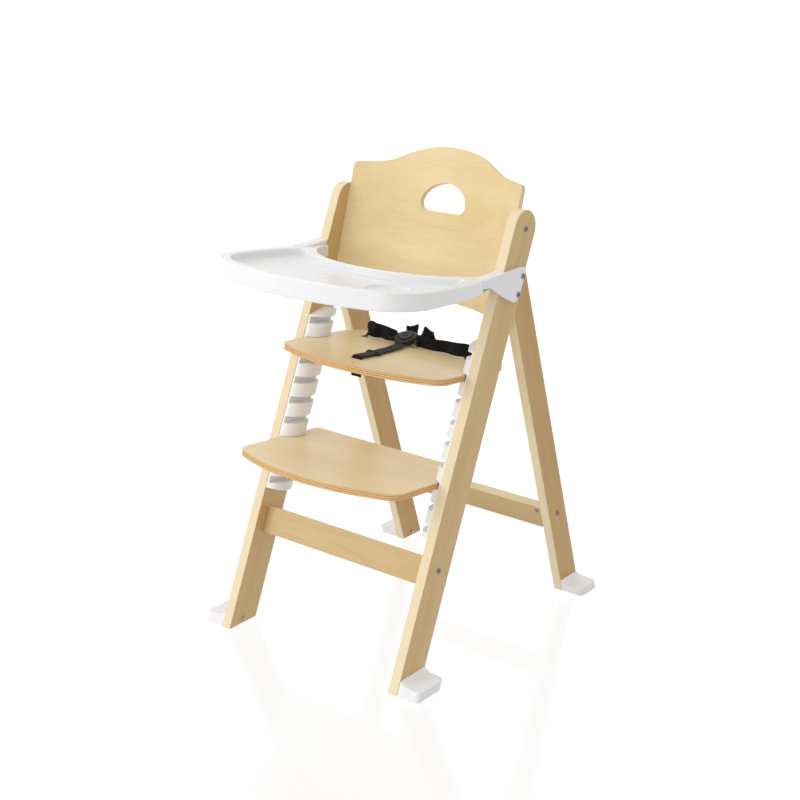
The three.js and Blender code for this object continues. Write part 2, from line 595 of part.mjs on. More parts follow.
function boardShape(reachFront, reachRear, rearCorner) {
  const arcY = BOARD_FRONT_RADIUS - reachFront;
  const cornerX = boardHalf - BOARD_CORNER_RADIUS;
  const cornerY = arcY - Math.sqrt((BOARD_FRONT_RADIUS - BOARD_CORNER_RADIUS) ** 2 - cornerX ** 2);
  const meets = Math.atan2(cornerY - arcY, cornerX); // where the front curve runs into the corner
  const rearX = boardHalf - rearCorner;
  const rearY = reachRear - rearCorner;
  const shape = new THREE.Shape();
  shape.absarc(0, arcY, BOARD_FRONT_RADIUS, -Math.PI - meets, meets, false);
  shape.absarc(cornerX, cornerY, BOARD_CORNER_RADIUS, meets, 0, false);
  shape.absarc(rearX, rearY, rearCorner, 0, Math.PI / 2, false);
  shape.absarc(-rearX, rearY, rearCorner, Math.PI / 2, Math.PI, false);
  shape.absarc(-cornerX, cornerY, BOARD_CORNER_RADIUS, Math.PI, Math.PI - meets, false);
  return shape;
}

function slit(x, y, alongX, alongY) {
  const halfX = alongX / 2 + SLIT_CLEARANCE;
  const halfY = alongY / 2 + SLIT_CLEARANCE;
  return box(x - halfX, x + halfX, y - halfY, y + halfY, -boardTop - 1, boardTop + 1);
}

function boardGroup(index) {
  return tiltedGroup(frontCentreY(slotZ(index)), slotZ(index), -tilt);
}

const seatGroup = boardGroup(SEAT_SLOT);
const seatShape = boardShape(SEAT_REACH_FRONT, SEAT_REACH_REAR, SEAT_REAR_CORNER_RADIUS);
const seatBoard = cut(
  flatPlate(seatShape, -boardTop, boardTop, 10),
  slit(...CROTCH_SLIT, CROTCH_STRAP_WIDTH, STRAP_THICKNESS),
  slit(LAP_SLIT_X, BUCKLE_BEHIND_LEG_LINE, STRAP_THICKNESS, STRAP_WIDTH),
  slit(-LAP_SLIT_X, BUCKLE_BEHIND_LEG_LINE, STRAP_THICKNESS, STRAP_WIDTH),
);
add(seatGroup, "seat_board", seatBoard, BIRCH);

const footrestGroup = boardGroup(footrestSlot);
const footrestShape = boardShape(FOOTREST_REACH_FRONT, FOOTREST_REACH_REAR, FOOTREST_REAR_CORNER_RADIUS);
add(footrestGroup, "footrest_board", flatPlate(footrestShape, -boardTop, boardTop, 10), BIRCH);

// ---------- Harness, in the seat's frame ----------
const strapBase = boardTop + TOUCH_GAP;
const strapZ = boardTop + 5.5;
const strapLow = -boardTop - STRAP_TAIL;

// The buckle stands on its front edge, in a frame of its own with z = 0 at its base.
const buckleGroup = new THREE.Group();
const buckleLift = strapBase + BUCKLE_RADIUS * Math.sin(rad(BUCKLE_TILT));
buckleGroup.position.set(BUCKLE_X, BUCKLE_BEHIND_LEG_LINE, buckleLift);
buckleGroup.rotation.x = rad(BUCKLE_TILT);
seatGroup.add(buckleGroup);

function buckleBody() {
  const wide = BUCKLE_RADIUS;
  const pocket = BUCKLE_BUTTON_RADIUS + 2 * HOLE_CLEARANCE;
  const outline = [
    [0, 0],
    [wide - 2, 0],
    [wide, 3],
    [wide, BUCKLE_HEIGHT - 4],
    [wide - 3, BUCKLE_HEIGHT],
    [pocket, BUCKLE_HEIGHT],
    [pocket, BUCKLE_HEIGHT - BUCKLE_POCKET_DEPTH],
    [0, BUCKLE_HEIGHT - BUCKLE_POCKET_DEPTH],
  ].map(([radius, z]) => new THREE.Vector2(radius, z));
  return new THREE.LatheGeometry(outline, 28).rotateX(Math.PI / 2);
}

function buckleButton() {
  const floor = BUCKLE_HEIGHT - BUCKLE_POCKET_DEPTH + TOUCH_GAP + BUTTON_TRAVEL;
  const top = BUCKLE_HEIGHT + BUCKLE_BUTTON_PROUD;
  const outline = [
    [0, floor],
    [BUCKLE_BUTTON_RADIUS, floor],
    [BUCKLE_BUTTON_RADIUS, top - 1.5],
    [BUCKLE_BUTTON_RADIUS - 2.5, top],
    [0, top - 0.6],
  ].map(([radius, z]) => new THREE.Vector2(radius, z));
  return new THREE.LatheGeometry(outline, 24).rotateX(Math.PI / 2);
}

// A strap whose side view is (y, z), as wide as given and centred on x = 0.
const strapAcrossX = (points, width) => sidePlate(strapShape(points), -width / 2, width / 2, 1);

// A lap strap comes up flat through its slit and then stands on its edge as far as the buckle.
function lapStrap(side, rise) {
  const halfThick = STRAP_THICKNESS / 2;
  const outer = side * LAP_SLIT_X;
  const end = BUCKLE_X + side * (BUCKLE_RADIUS + 2);
  const standing = polygon(
    [outer + side * 2, strapBase],
    [end, strapBase + 2],
    [end, strapBase + LAP_RISE_AT_BUCKLE],
    [(outer + end) / 2, strapBase + (LAP_RISE_AT_BUCKLE + rise) / 2],
    [outer + side * 2, strapBase + rise],
  );
  const tail = box(outer - halfThick, outer + halfThick, -STRAP_WIDTH / 2, STRAP_WIDTH / 2, strapLow, strapZ);
  const strap = join(frontPlate(standing, -halfThick, halfThick), tail);
  return strap.translate(0, BUCKLE_BEHIND_LEG_LINE, 0);
}

function crotchStrap() {
  const [slitX, slitY] = CROTCH_SLIT;
  const end = BUCKLE_BEHIND_LEG_LINE - BUCKLE_RADIUS - 1;
  const level = boardTop + 4.5;
  const path = [
    [slitY, strapLow],
    [slitY, -boardTop],
    [slitY, boardTop - 1],
    [slitY + 3, level - 0.5],
    [slitY + 14, level],
    [ADJUSTER_Y - 10, level],
    [ADJUSTER_Y + 10, level],
    [end - 20, level],
    [end, strapZ],
  ];
  return strapAcrossX(path, CROTCH_STRAP_WIDTH).translate(slitX, 0, 0);
}

function crotchAdjuster() {
  const level = boardTop + 4.5;
  const halfWide = CROTCH_STRAP_WIDTH / 2;
  const clear = STRAP_THICKNESS / 2 + 0.5;
  const frame = box(-halfWide - 4, halfWide + 4, -7, 7, level - 4, level + 4);
  const passage = box(-halfWide - 0.6, halfWide + 0.6, -8, 8, level - clear, level + clear);
  return cut(frame, passage).translate(CROTCH_SLIT[0], ADJUSTER_Y, 0);
}

function shoulderLoop(side) {
  const rise = SHOULDER_LOOP_RISE;
  const path = [
    [0, strapZ - 1],
    [6, boardTop + 0.7 * rise],
    [14, boardTop + rise],
    [22, boardTop + 0.7 * rise],
    [27, boardTop + 2.2],
  ];
  const loop = strapAcrossX(path, CROTCH_STRAP_WIDTH).rotateZ(-side * rad(SHOULDER_LOOP_TURN));
  const y = BUCKLE_BEHIND_LEG_LINE + BUCKLE_RADIUS + 6;
  return loop.translate(BUCKLE_X + side * SHOULDER_LOOP_SPREAD, y, 0);
}

function tag() {
  const [x, y] = TAG_CENTRE;
  const top = -boardTop - TOUCH_GAP;
  return box(x - 12, x + 12, y - 0.8, y + 0.8, top - 9, top);
}

add(buckleGroup, "buckle_body", buckleBody(), BLACK_PLASTIC);
add(buckleGroup, "buckle_button", buckleButton(), BLACK_PLASTIC);
add(seatGroup, "lap_strap_right", lapStrap(1, RIGHT_LAP_RISE), WEBBING);
add(seatGroup, "lap_strap_left", lapStrap(-1, LEFT_LAP_RISE), WEBBING);
add(seatGroup, "crotch_strap", crotchStrap(), WEBBING);
add(seatGroup, "crotch_adjuster", crotchAdjuster(), BLACK_PLASTIC);
add(seatGroup, "shoulder_loop_right", shoulderLoop(1), WEBBING);
add(seatGroup, "shoulder_loop_left", shoulderLoop(-1), WEBBING);
add(seatGroup, "seat_tag", tag(), BLACK_PLASTIC);

// ---------- Tray, in a frame with its rim at z = 0 and the bracket's end at y = 0 ----------
const trayGroup = tiltedGroup(trayY, trayZ, -tilt);
const finOuter = legInner - TOUCH_GAP;
const finInner = finOuter - 5;
const finReach = TRAY_BRACKET_REACH - 3;

// The tray's outline, or the same drawn in by `rim` at its front and sides and `belly` at its back.
function trayShape(rim, belly) {
  const radius = TRAY_FRONT_RADIUS - rim;
  const corner = TRAY_CORNER_RADIUS - rim;
  const half = trayHalf - rim;
  const arcY = TRAY_FRONT_RADIUS - TRAY_FRONT_REACH;
  const cornerX = half - corner;
  const cornerY = arcY - Math.sqrt((radius - corner) ** 2 - cornerX ** 2);
  const meets = Math.atan2(cornerY - arcY, cornerX);
  const bellyY = -TRAY_BELLY_DEPTH - belly;
  const shape = new THREE.Shape();
  shape.absarc(0, arcY, radius, -Math.PI / 2, meets, false);
  shape.absarc(cornerX, cornerY, corner, meets, 0, false);
  if (belly) {
    shape.quadraticCurveTo(half, -70, finInner, -rim);
    shape.lineTo(finInner, 0);
    shape.bezierCurveTo(182, -22, 112, bellyY, 0, bellyY);
  } else {
    shape.quadraticCurveTo(half, -70, bracketOuter - rim, 0);
    shape.lineTo(finOuter, 0);
    shape.lineTo(finOuter, finReach);
    shape.lineTo(finInner, finReach);
    shape.bezierCurveTo(finInner - 6, 4, 116, bellyY, 0, bellyY);
  }
  const right = shape.getPoints(9);
  const left = right.slice(1, -1).map((point) => new THREE.Vector2(-point.x, point.y)).reverse();
  return new THREE.Shape([...right, ...left]);
}

function tray() {
  const skirtEnd = -60;
  const underside = -TRAY_PAN_DEPTH - TRAY_WALL;
  const [cupX, cupY] = TRAY_CUP_CENTRE;
  const slope = (TRAY_SKIRT_FRONT - TRAY_SKIRT_REAR) / TRAY_FRONT_REACH;
  const skirtZ = (y) => -TRAY_SKIRT_REAR + slope * Math.min(y, 0);
  const front = -TRAY_FRONT_REACH - 1;
  const rear = finReach + 1;
  const side = polygon([front, skirtZ(front)], [0, skirtZ(0)], [rear, skirtZ(0)], [rear, 0], [front, 0]);
  const block = flatPlate(trayShape(0, 0), skirtEnd, 0, 1);
  const body = overlap(block, sidePlate(side, -trayHalf - 1, trayHalf + 1));
  const pan = flatPlate(trayShape(TRAY_RIM, 4), -TRAY_PAN_DEPTH, 1, 1);
  const cupDeep = TRAY_PAN_DEPTH + TRAY_CUP_DEPTH;
  const cup = new THREE.CylinderGeometry(TRAY_CUP_RADIUS, TRAY_CUP_RADIUS, cupDeep, 32);
  cup.rotateX(Math.PI / 2).translate(cupX, cupY, -cupDeep / 2);
  const bossRadius = TRAY_CUP_RADIUS + TRAY_WALL;
  const boss = new THREE.CylinderGeometry(bossRadius, bossRadius, TRAY_CUP_DEPTH + TRAY_WALL, 32);
  boss.rotateX(Math.PI / 2).translate(cupX, cupY, -TRAY_PAN_DEPTH - (TRAY_CUP_DEPTH + TRAY_WALL) / 2);
  const hollow = cut(flatPlate(trayShape(TRAY_WALL, TRAY_WALL), skirtEnd - 1, underside, 1), boss);
  const channelTop = -(BRACKET_ARM_HEIGHT - TONGUE_HEIGHT) + TONGUE_CLEARANCE;
  const channels = [1, -1].map((sign) => {
    const ends = [sign * (tongueX - TONGUE_CLEARANCE), sign * (tongueX + TONGUE_WIDTH + TONGUE_CLEARANCE)];
    const [x0, x1] = ends.sort((a, b) => a - b);
    return box(x0, x1, -TONGUE_LENGTH - 5, 1, skirtEnd, channelTop);
  });
  return cut(body, pan, cup, hollow, ...channels);
}

const tongueX = bracketOuter - TRAY_WALL - TONGUE_CLEARANCE - TONGUE_WIDTH;
add(trayGroup, "tray", tray(), WHITE_PLASTIC);

// ---------- Tray brackets: a plate on the leg, an arm in front of it and a tongue into the tray ----------
function trayBracket() {
  const z = trayZ;
  const back = (drop, inset) => [frontBackY(z - drop) - inset, z - drop];
  const plate = new THREE.Shape();
  plate.moveTo(trayY + TOUCH_GAP, z);
  plate.lineTo(...back(-4.5, 30));
  plate.quadraticCurveTo(...back(-4, 4), ...back(14, 7));
  plate.lineTo(...back(50, 8));
  plate.quadraticCurveTo(...back(62, 10), ...back(58, 27));
  plate.lineTo(frontEdgeY(z - 37), z - 37);
  plate.lineTo(trayY + 27, z - 18);
  plate.quadraticCurveTo(trayY + 18, z - BRACKET_ARM_HEIGHT, trayY + TOUCH_GAP, z - BRACKET_ARM_HEIGHT);
  const legClear = TOUCH_GAP / Math.cos(frontLean);
  const arm = polygon(
    [trayY + TOUCH_GAP, z - BRACKET_ARM_HEIGHT],
    [frontEdgeY(z - BRACKET_ARM_HEIGHT) - legClear, z - BRACKET_ARM_HEIGHT],
    [frontEdgeY(z + 3) - legClear, z + 3],
    [trayY + TOUCH_GAP, z],
  );
  const tongueBase = -BRACKET_ARM_HEIGHT + 0.5;
  const tongueTop = tongueBase + TONGUE_HEIGHT;
  const tongue = box(tongueX, tongueX + TONGUE_WIDTH, -TONGUE_LENGTH, 6, tongueBase, tongueTop);
  tongue.rotateX(-tilt).translate(0, trayY, trayZ);
  const bores = bracketBolts.map(([y, boltZ]) =>
    boreX(y, boltZ, BOLT_RADIUS + HOLE_CLEARANCE, legOuter, bracketOuter + 1),
  );
  const body = join(
    sidePlate(plate, legOuter + TOUCH_GAP, bracketOuter, 5),
    sidePlate(arm, legInner + TOUCH_GAP, bracketOuter),
    tongue,
  );
  return cut(body, ...bores);
}

addPair(chair, "tray_bracket", trayBracket(), WHITE_PLASTIC);
bracketBolts.forEach(([y, z], order) => {
  const bolt = socketBolt(BRACKET_PLATE + TOUCH_GAP + BRACKET_BOLT_GRIP - 1);
  addPair(chair, "bracket_bolt", bolt.translate(bracketOuter, y, z), STEEL, `_${order + 1}`);
});

// ---------- Tray latches: levers under the bracket arms, hinged at their rear ----------
function trayLatch() {
  const rear = trayY + 2 + LATCH_LENGTH;
  const top = trayZ - BRACKET_ARM_HEIGHT - TOUCH_GAP;
  const lever = polygon(
    [rear, top],
    [rear - LATCH_LENGTH, top],
    [rear - LATCH_LENGTH, top - 9],
    [rear - LATCH_LENGTH + 8, top - 10],
    [rear, top - 3],
  );
  const x0 = legInner + 5;
  return sidePlate(lever, x0, x0 + LATCH_WIDTH);
}

addPair(chair, "tray_latch", trayLatch(), GREY_PLASTIC);

// ---------- The whole chair, with the middle of its footprint at the origin ----------
const frontmost = trayY - TRAY_FRONT_REACH * Math.cos(tilt) - TRAY_SKIRT_FRONT * Math.sin(tilt);
chair.position.y = -(frontmost + rearHeelY) / 2;
const highChair = new THREE.Group();
highChair.add(chair);

export default highChair;
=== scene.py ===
import math

import bmesh
import bpy
from mathutils import Matrix, Vector


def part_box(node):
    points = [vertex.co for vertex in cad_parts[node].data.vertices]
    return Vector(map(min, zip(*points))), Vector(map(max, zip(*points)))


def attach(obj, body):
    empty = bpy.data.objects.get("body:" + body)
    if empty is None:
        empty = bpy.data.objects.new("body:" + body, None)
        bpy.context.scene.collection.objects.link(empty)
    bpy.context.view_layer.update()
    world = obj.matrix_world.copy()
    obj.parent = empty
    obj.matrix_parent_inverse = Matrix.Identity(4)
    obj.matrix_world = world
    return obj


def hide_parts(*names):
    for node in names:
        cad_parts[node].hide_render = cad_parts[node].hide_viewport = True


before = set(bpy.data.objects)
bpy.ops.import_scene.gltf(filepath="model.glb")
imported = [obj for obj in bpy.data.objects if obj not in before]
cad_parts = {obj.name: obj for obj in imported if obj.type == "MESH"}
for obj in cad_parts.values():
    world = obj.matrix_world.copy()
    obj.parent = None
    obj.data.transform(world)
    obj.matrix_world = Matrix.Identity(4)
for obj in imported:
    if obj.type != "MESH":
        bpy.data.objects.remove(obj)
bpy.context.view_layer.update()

MM = 0.001
rad = math.radians

# ---------- Sizes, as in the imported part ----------
leg_low, leg_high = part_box("front_leg_right")
SHIFT = leg_low.y / MM
LEG_INNER = leg_low.x / MM
LEG_OUTER = leg_high.x / MM
LEG_HEIGHT = round(leg_high.z / MM)
LEG_THICKNESS = LEG_OUTER - LEG_INNER
FRONT_WIDTH = 70
FRONT_LEAN = rad(22.58)
REAR_WIDTH = 60
REAR_LEAN = rad(18.93)
REAR_LEG_TOP_DROP = 110  # leg top down to where the rear leg's back edge meets it
GAP = 0.3
BAR_HEIGHT = 53
BAR_THICKNESS = 20
BARREL_NUT_INSET = 25
FRONT_BAR_Z = 198
FRONT_NUT_RISE = 9  # nut above the bar's centre line
REAR_BAR_Z = 172
REAR_NUT_RISE = 16
TILT = rad(5.4)
BOARD_THICKNESS = 12
BOARD_FRONT_RADIUS = 410
BOARD_CORNER_RADIUS = 35
BOARD_SIDE_CLEARANCE = 2
SEAT_REACH_FRONT = 155  # measured from the leg's centre line, along the board
SEAT_REACH_REAR = 136
SEAT_REAR_CORNER = 72
FOOTREST_REACH_FRONT = 201
FOOTREST_REACH_REAR = 77
FOOTREST_REAR_CORNER = 10
SLOT_PITCH = 37.6
SLOT_COUNT = 9
TOP_SLOT_DROP = 258.8
SEAT_SLOT = 1  # counted from the top, starting at 0
FOOTREST_SLOT = 6
SLOT_HEIGHT = 13.5
RAIL_DEPTH = 28
RAIL_BASE = 4
RAIL_FRONT_INSET = 1
RAIL_REAR_INSET = 4
BACK_LEAN = rad(16.44)
BACK_SAG = 46
BACK_THICKNESS = 12
TRAY_DROP = 107
TRAY_BRACKET_REACH = 71
TRAY_SIDE_BULGE = 9.5
BRACKET_PLATE = 6
BRACKET_ARM_HEIGHT = 15
FOOT_REACH = 47.8
FOOT_WALL_HEIGHT = 26
FOOT_CORNER_RADIUS = 9
STRAP_WIDTH = 30
CROTCH_STRAP_WIDTH = 25
STRAP_END_Z = -16  # how low the straps hang under the seat
SLIT_DEPTH = 5
SLIT_CLEARANCE = 1.3
LAP_SLIT_X = 132
CROTCH_SLIT = (-12, -98)  # on the seat: across, and behind the leg's centre line
ADJUSTER_Y = -45
BUCKLE_X = -30
BUCKLE_Y = 79
BUCKLE_LIFT = 14.5
BUCKLE_TILT = rad(20)
BUCKLE_RADIUS = 24
SHOULDER_LOOP_SPREAD = 17  # each side of the buckle's middle
SHOULDER_LOOP_TURN = rad(16)  # outwards

front_slope = math.tan(FRONT_LEAN)
rear_slope = math.tan(REAR_LEAN)
front_floor = FRONT_WIDTH / math.cos(FRONT_LEAN)
rear_floor = REAR_WIDTH / math.cos(REAR_LEAN)
joint_z = LEG_HEIGHT - REAR_LEG_TOP_DROP
rear_heel = front_slope * joint_z + front_floor + rear_slope * joint_z
leg_top_z = LEG_HEIGHT - FRONT_WIDTH / 2
top_slot_z = LEG_HEIGHT - TOP_SLOT_DROP
panel_half = LEG_INNER - GAP
slot_bottom = panel_half - RAIL_BASE
board_half = slot_bottom - BOARD_SIDE_CLEARANCE
tray_z = LEG_HEIGHT - TRAY_DROP
tray_y = front_slope * tray_z - TRAY_BRACKET_REACH
bracket_outer = LEG_OUTER + GAP + BRACKET_PLATE
tray_half = bracket_outer + TRAY_SIDE_BULGE


def front_edge(z):
    return front_slope * z


def front_centre(z):
    return front_slope * z + front_floor / 2


def front_back(z):
    return front_slope * z + front_floor


def rear_centre(z):
    return rear_heel - rear_floor / 2 - rear_slope * z


def slot_z(index):
    return top_slot_z - index * SLOT_PITCH


def tilted(y, z, angle):
    """A frame at (0, y, z) of the part, turned about X."""
    return Matrix.Translation((0, y + SHIFT, z)) @ Matrix.Rotation(angle, 4, "X")


SEAT_FRAME = tilted(front_centre(slot_z(SEAT_SLOT)), slot_z(SEAT_SLOT), -TILT)
FOOTREST_FRAME = tilted(front_centre(slot_z(FOOTREST_SLOT)), slot_z(FOOTREST_SLOT), -TILT)
TRAY_FRAME = tilted(tray_y, tray_z, -TILT)
BACK_FRAME = tilted(front_centre(leg_top_z), leg_top_z, -BACK_LEAN)
buckle_place = Matrix.Translation((BUCKLE_X, BUCKLE_Y, BUCKLE_LIFT))
BUCKLE_FRAME = SEAT_FRAME @ buckle_place @ Matrix.Rotation(BUCKLE_TILT, 4, "X")


# ---------- Material helpers ----------
def linear(text):
    """A #rrggbb colour as linear RGBA."""
    parts = [int(text[i : i + 2], 16) / 255 for i in (1, 3, 5)]
    return [c / 12.92 if c <= 0.04045 else ((c + 0.055) / 1.055) ** 2.4 for c in parts] + [1]


class Nodes:
    """A new material's node tree, with short ways to add and join nodes."""

    def __init__(self, name):
        self.material = bpy.data.materials.new(name)
        self.material.use_nodes = True
        self.tree = self.material.node_tree
        self.tree.nodes.clear()
        self.shader = self.add("ShaderNodeBsdfPrincipled")
        output = self.add("ShaderNodeOutputMaterial")
        self.link(self.shader.outputs["BSDF"], output.inputs["Surface"])

    def add(self, kind, **values):
        node = self.tree.nodes.new(kind)
        for key, value in values.items():
            if hasattr(node, key):
                setattr(node, key, value)
            else:
                node.inputs[key.replace("_", " ")].default_value = value
        return node

    def link(self, a, b):
        self.tree.links.new(a, b)
        return b.node

    def grain(self, scale, offset=(0, 0, 0)):
        """The piece's own coordinates in metres: along, across and through it."""
        source = self.add("ShaderNodeAttribute", attribute_name="grain")
        mapping = self.add("ShaderNodeMapping")
        mapping.inputs["Scale"].default_value = scale
        mapping.inputs["Location"].default_value = offset
        self.link(source.outputs["Vector"], mapping.inputs["Vector"])
        return mapping.outputs["Vector"]

    def place(self, scale):
        """The object's coordinates in metres, scaled."""
        source = self.add("ShaderNodeTexCoord")
        mapping = self.add("ShaderNodeMapping")
        mapping.inputs["Scale"].default_value = scale
        self.link(source.outputs["Object"], mapping.inputs["Vector"])
        return mapping.outputs["Vector"]

    def noise(self, vector, scale, detail=4, distortion=0, roughness=0.55):
        node = self.add("ShaderNodeTexNoise", Scale=scale, Detail=detail)
        node.inputs["Distortion"].default_value = distortion
        node.inputs["Roughness"].default_value = roughness
        self.link(vector, node.inputs["Vector"])
        return node.outputs["Fac"]

    def wave(self, vector, scale, distortion=0, detail=2, direction="X"):
        node = self.add("ShaderNodeTexWave", bands_direction=direction)
        node.inputs["Scale"].default_value = scale
        node.inputs["Distortion"].default_value = distortion
        node.inputs["Detail"].default_value = detail
        self.link(vector, node.inputs["Vector"])
        return node.outputs["Fac"]

    def ramp(self, factor, stops):
        node = self.add("ShaderNodeValToRGB")
        elements = node.color_ramp.elements
        while len(elements) < len(stops):
            elements.new(0.5)
        for element, (position, colour) in zip(elements, stops):
            element.position = position
            element.color = linear(colour) if isinstance(colour, str) else [colour] * 3 + [1]
        self.link(factor, node.inputs["Fac"])
        return node.outputs["Color"]

    def mix(self, factor, a, b, blend="MIX"):
        node = self.add("ShaderNodeMix", data_type="RGBA", blend_type=blend)
        for socket, value in ((node.inputs[0], factor), (node.inputs[6], a), (node.inputs[7], b)):
            if isinstance(value, (int, float)):
                socket.default_value = value
            elif isinstance(value, str):
                socket.default_value = linear(value)
            else:
                self.link(value, socket)
        return node.outputs[2]

    def spread(self, factor, low, high):
        node = self.add("ShaderNodeMapRange")
        node.inputs["To Min"].default_value = low
        node.inputs["To Max"].default_value = high
        self.link(factor, node.inputs["Value"])
        return node.outputs["Result"]

    def bump(self, height, strength, distance):
        node = self.add("ShaderNodeBump", Strength=strength, Distance=distance)
        self.link(height, node.inputs["Height"])
        self.link(node.outputs["Normal"], self.shader.inputs["Normal"])

    def set(self, **values):
        for key, value in values.items():
            self.shader.inputs[key.replace("_", " ")].default_value = value

    def colour(self, socket):
        self.link(socket, self.shader.inputs["Base Color"])

    def rough(self, factor, low, high):
        self.link(self.spread(factor, low, high), self.shader.inputs["Roughness"])


# ---------- Materials ----------
def birch_face(name, pale, warm, streak, offset=0):
    """Lacquered birch veneer: broad pale and warm zones, fine fibres and faint growth lines."""
    n = Nodes(name)
    zones = n.noise(n.grain((1.1, 5, 5), (offset, offset, 0)), 2.4, 3, 0.4)
    figure = n.noise(n.grain((2.2, 34, 34), (offset, 0, 0)), 2.2, 5, 1.1)
    fibres = n.noise(n.grain((12, 520, 520)), 1.6, 3)
    lines = n.wave(n.grain((1.2, 16, 16), (0, offset, 0)), 3.1, 9, 3, "Y")
    base = n.mix(n.spread(zones, -0.25, 1.25), pale, warm)
    figured = n.mix(n.ramp(figure, [(0.40, 0.0), (0.74, 0.20)]), base, streak)
    lined = n.mix(n.ramp(lines, [(0.78, 0.0), (0.98, 0.13)]), figured, streak)
    fine = n.mix(n.ramp(fibres, [(0.38, 0.0), (0.75, 0.09)]), lined, streak, "MULTIPLY")
    n.colour(fine)
    n.rough(figure, 0.34, 0.5)
    n.set(Coat_Weight=0.22, Coat_Roughness=0.22, Specular_IOR_Level=0.42)
    n.bump(fibres, 0.09, 0.0004)
    return n.material


def ply_edge(name, light, dark, glue, layers, thickness):
    """The sanded edge of plywood: veneers that run through the thickness, in turn light and dark."""
    n = Nodes(name)
    period = thickness * MM / layers
    wobble = n.noise(n.grain((9, 9, 2)), 2.0, 2)
    bands = n.wave(n.grain((0, 0, 0.314 / period)), 1.0, 0, 0, "Z")
    fibres = n.noise(n.grain((30, 160, 900)), 1.2, 4, 0.5)
    flecks = n.noise(n.grain((170, 170, 240)), 1.3, 3, 0.3)
    layered = n.mix(n.ramp(bands, [(0.30, 0.0), (0.62, 1.0)]), light, dark)
    glued = n.mix(n.ramp(bands, [(0.44, 0.0), (0.50, 0.55), (0.56, 0.0)]), layered, glue)
    varied = n.mix(n.ramp(flecks, [(0.42, 0.0), (0.72, 0.3)]), glued, dark)
    n.colour(n.mix(n.spread(wobble, 0.0, 0.35), varied, light))
    n.rough(fibres, 0.5, 0.68)
    n.bump(fibres, 0.16, 0.0004)
    return n.material


def moulded_plastic(name, colour, shade, low, high, texture, strength):
    """Injection-moulded plastic with a fine tool texture and faint flow marks."""
    n = Nodes(name)
    cloud = n.noise(n.place((1, 1, 1)), 5.5, 3, 0.5)
    skin = n.noise(n.place((1, 1, 1)), texture, 2)
    n.colour(n.mix(n.ramp(cloud, [(0.35, 0.0), (0.75, 0.5)]), colour, shade))
    n.rough(cloud, low, high)
    n.bump(skin, strength, 0.0002)
    return n


def white_plastic():
    n = moulded_plastic("white_plastic", "#f0f0f0", "#ececec", 0.22, 0.32, 900, 0.05)
    n.set(Subsurface_Weight=0.08, Subsurface_Scale=0.004, Specular_IOR_Level=0.5)
    return n.material


def foot_plastic():
    n = moulded_plastic("foot_plastic", "#efefef", "#e7e7e8", 0.42, 0.58, 1500, 0.22)
    n.set(Subsurface_Weight=0.15, Subsurface_Scale=0.003)
    return n.material


# The latch's blue-grey colour is painted shade: it stands for the shadow under the tray bracket.
def latch_painted_shade_plastic():
    return moulded_plastic("latch_painted_shade_plastic", "#a8b0ba", "#979faa", 0.38, 0.5, 1200, 0.15).material


def black_plastic():
    n = moulded_plastic("black_plastic", "#121213", "#0b0b0c", 0.34, 0.48, 1700, 0.25)
    n.set(Specular_IOR_Level=0.45)
    return n.material


def webbing():
    """Woven nylon strap: ribs along it crossed by fine picks, with paler worn threads."""
    n = Nodes("webbing")
    ribs = n.wave(n.grain((0, 1, 0)), 230, 0.4, 1, "Y")
    picks = n.wave(n.grain((1, 0, 0)), 340, 0.6, 1, "X")
    weave = n.mix(0.5, ribs, picks, "MULTIPLY")
    wear = n.noise(n.grain((60, 60, 60)), 2, 4)
    n.colour(n.mix(n.ramp(weave, [(0.2, 0.0), (0.9, 1.0)]), "#040405", "#0f0f10"))
    n.rough(wear, 0.72, 0.92)
    n.set(Sheen_Weight=0.12, Sheen_Roughness=0.5, Specular_IOR_Level=0.2)
    n.bump(weave, 0.5, 0.0005)
    return n.material


def zinc_steel(name, colour, shade, low, high):
    """Zinc-plated steel with a brushed, slightly clouded surface."""
    n = Nodes(name)
    cloud = n.noise(n.place((1, 1, 1)), 160, 4, 0.4)
    brushed = n.noise(n.place((30, 900, 900)), 1.5, 3)
    n.colour(n.mix(cloud, colour, shade))
    n.rough(cloud, low, high)
    n.set(Metallic=1.0)
    n.bump(brushed, 0.12, 0.0002)
    return n.material


def beech():
    n = Nodes("beech_dowel")
    pores = n.noise(n.place((40, 900, 900)), 1, 4)
    n.colour(n.mix(pores, "#cda873", "#b88f58"))
    n.rough(pores, 0.55, 0.75)
    n.bump(pores, 0.2, 0.0003)
    return n.material


# The legs' and crossbars' birch copies are darker than the boards': painted shade for their sides, which
# get less light.
REAR_LEG_SHADED = birch_face("birch_shaded_rear_leg", "#cda764", "#bf9249", "#a57836", 11.3)
LEG_SIDE_SHADED = birch_face("birch_shaded_leg", "#dcc18a", "#cfa966", "#b08847")
BAR_SIDE_SHADED = birch_face("birch_shaded_bar", "#d8bd87", "#cbaa6d", "#ae874a", 3.1)
BOARD_FACE = birch_face("birch_board", "#fae9c6", "#f0d59f", "#d4b273", 5.7)
BACK_FACE = birch_face("birch_back", "#efdbac", "#e2c78b", "#caa867", 8.3)
LEG_EDGE = ply_edge("leg_ply_edge", "#f4e6c6", "#e4cd9e", "#c8a873", 5, LEG_THICKNESS)
BOARD_EDGE = ply_edge("board_ply_edge", "#ecc587", "#b27836", "#7d4a1e", 3, BOARD_THICKNESS)
BACK_EDGE = ply_edge("back_ply_edge", "#f0dfba", "#dcbc88", "#b99059", 3, BACK_THICKNESS)
WHITE = white_plastic()
FOOT_WHITE = foot_plastic()
# Blue-grey latch colour: painted shade under the tray bracket.
LATCH_PAINTED_SHADE = latch_painted_shade_plastic()
BLACK = black_plastic()
WEBBING = webbing()
STEEL = zinc_steel("zinc_steel", "#8d8f91", "#6f7173", 0.28, 0.45)
PALE_STEEL = zinc_steel("pale_steel", "#b4b5b6", "#8f9192", 0.25, 0.4)
BEECH = beech()


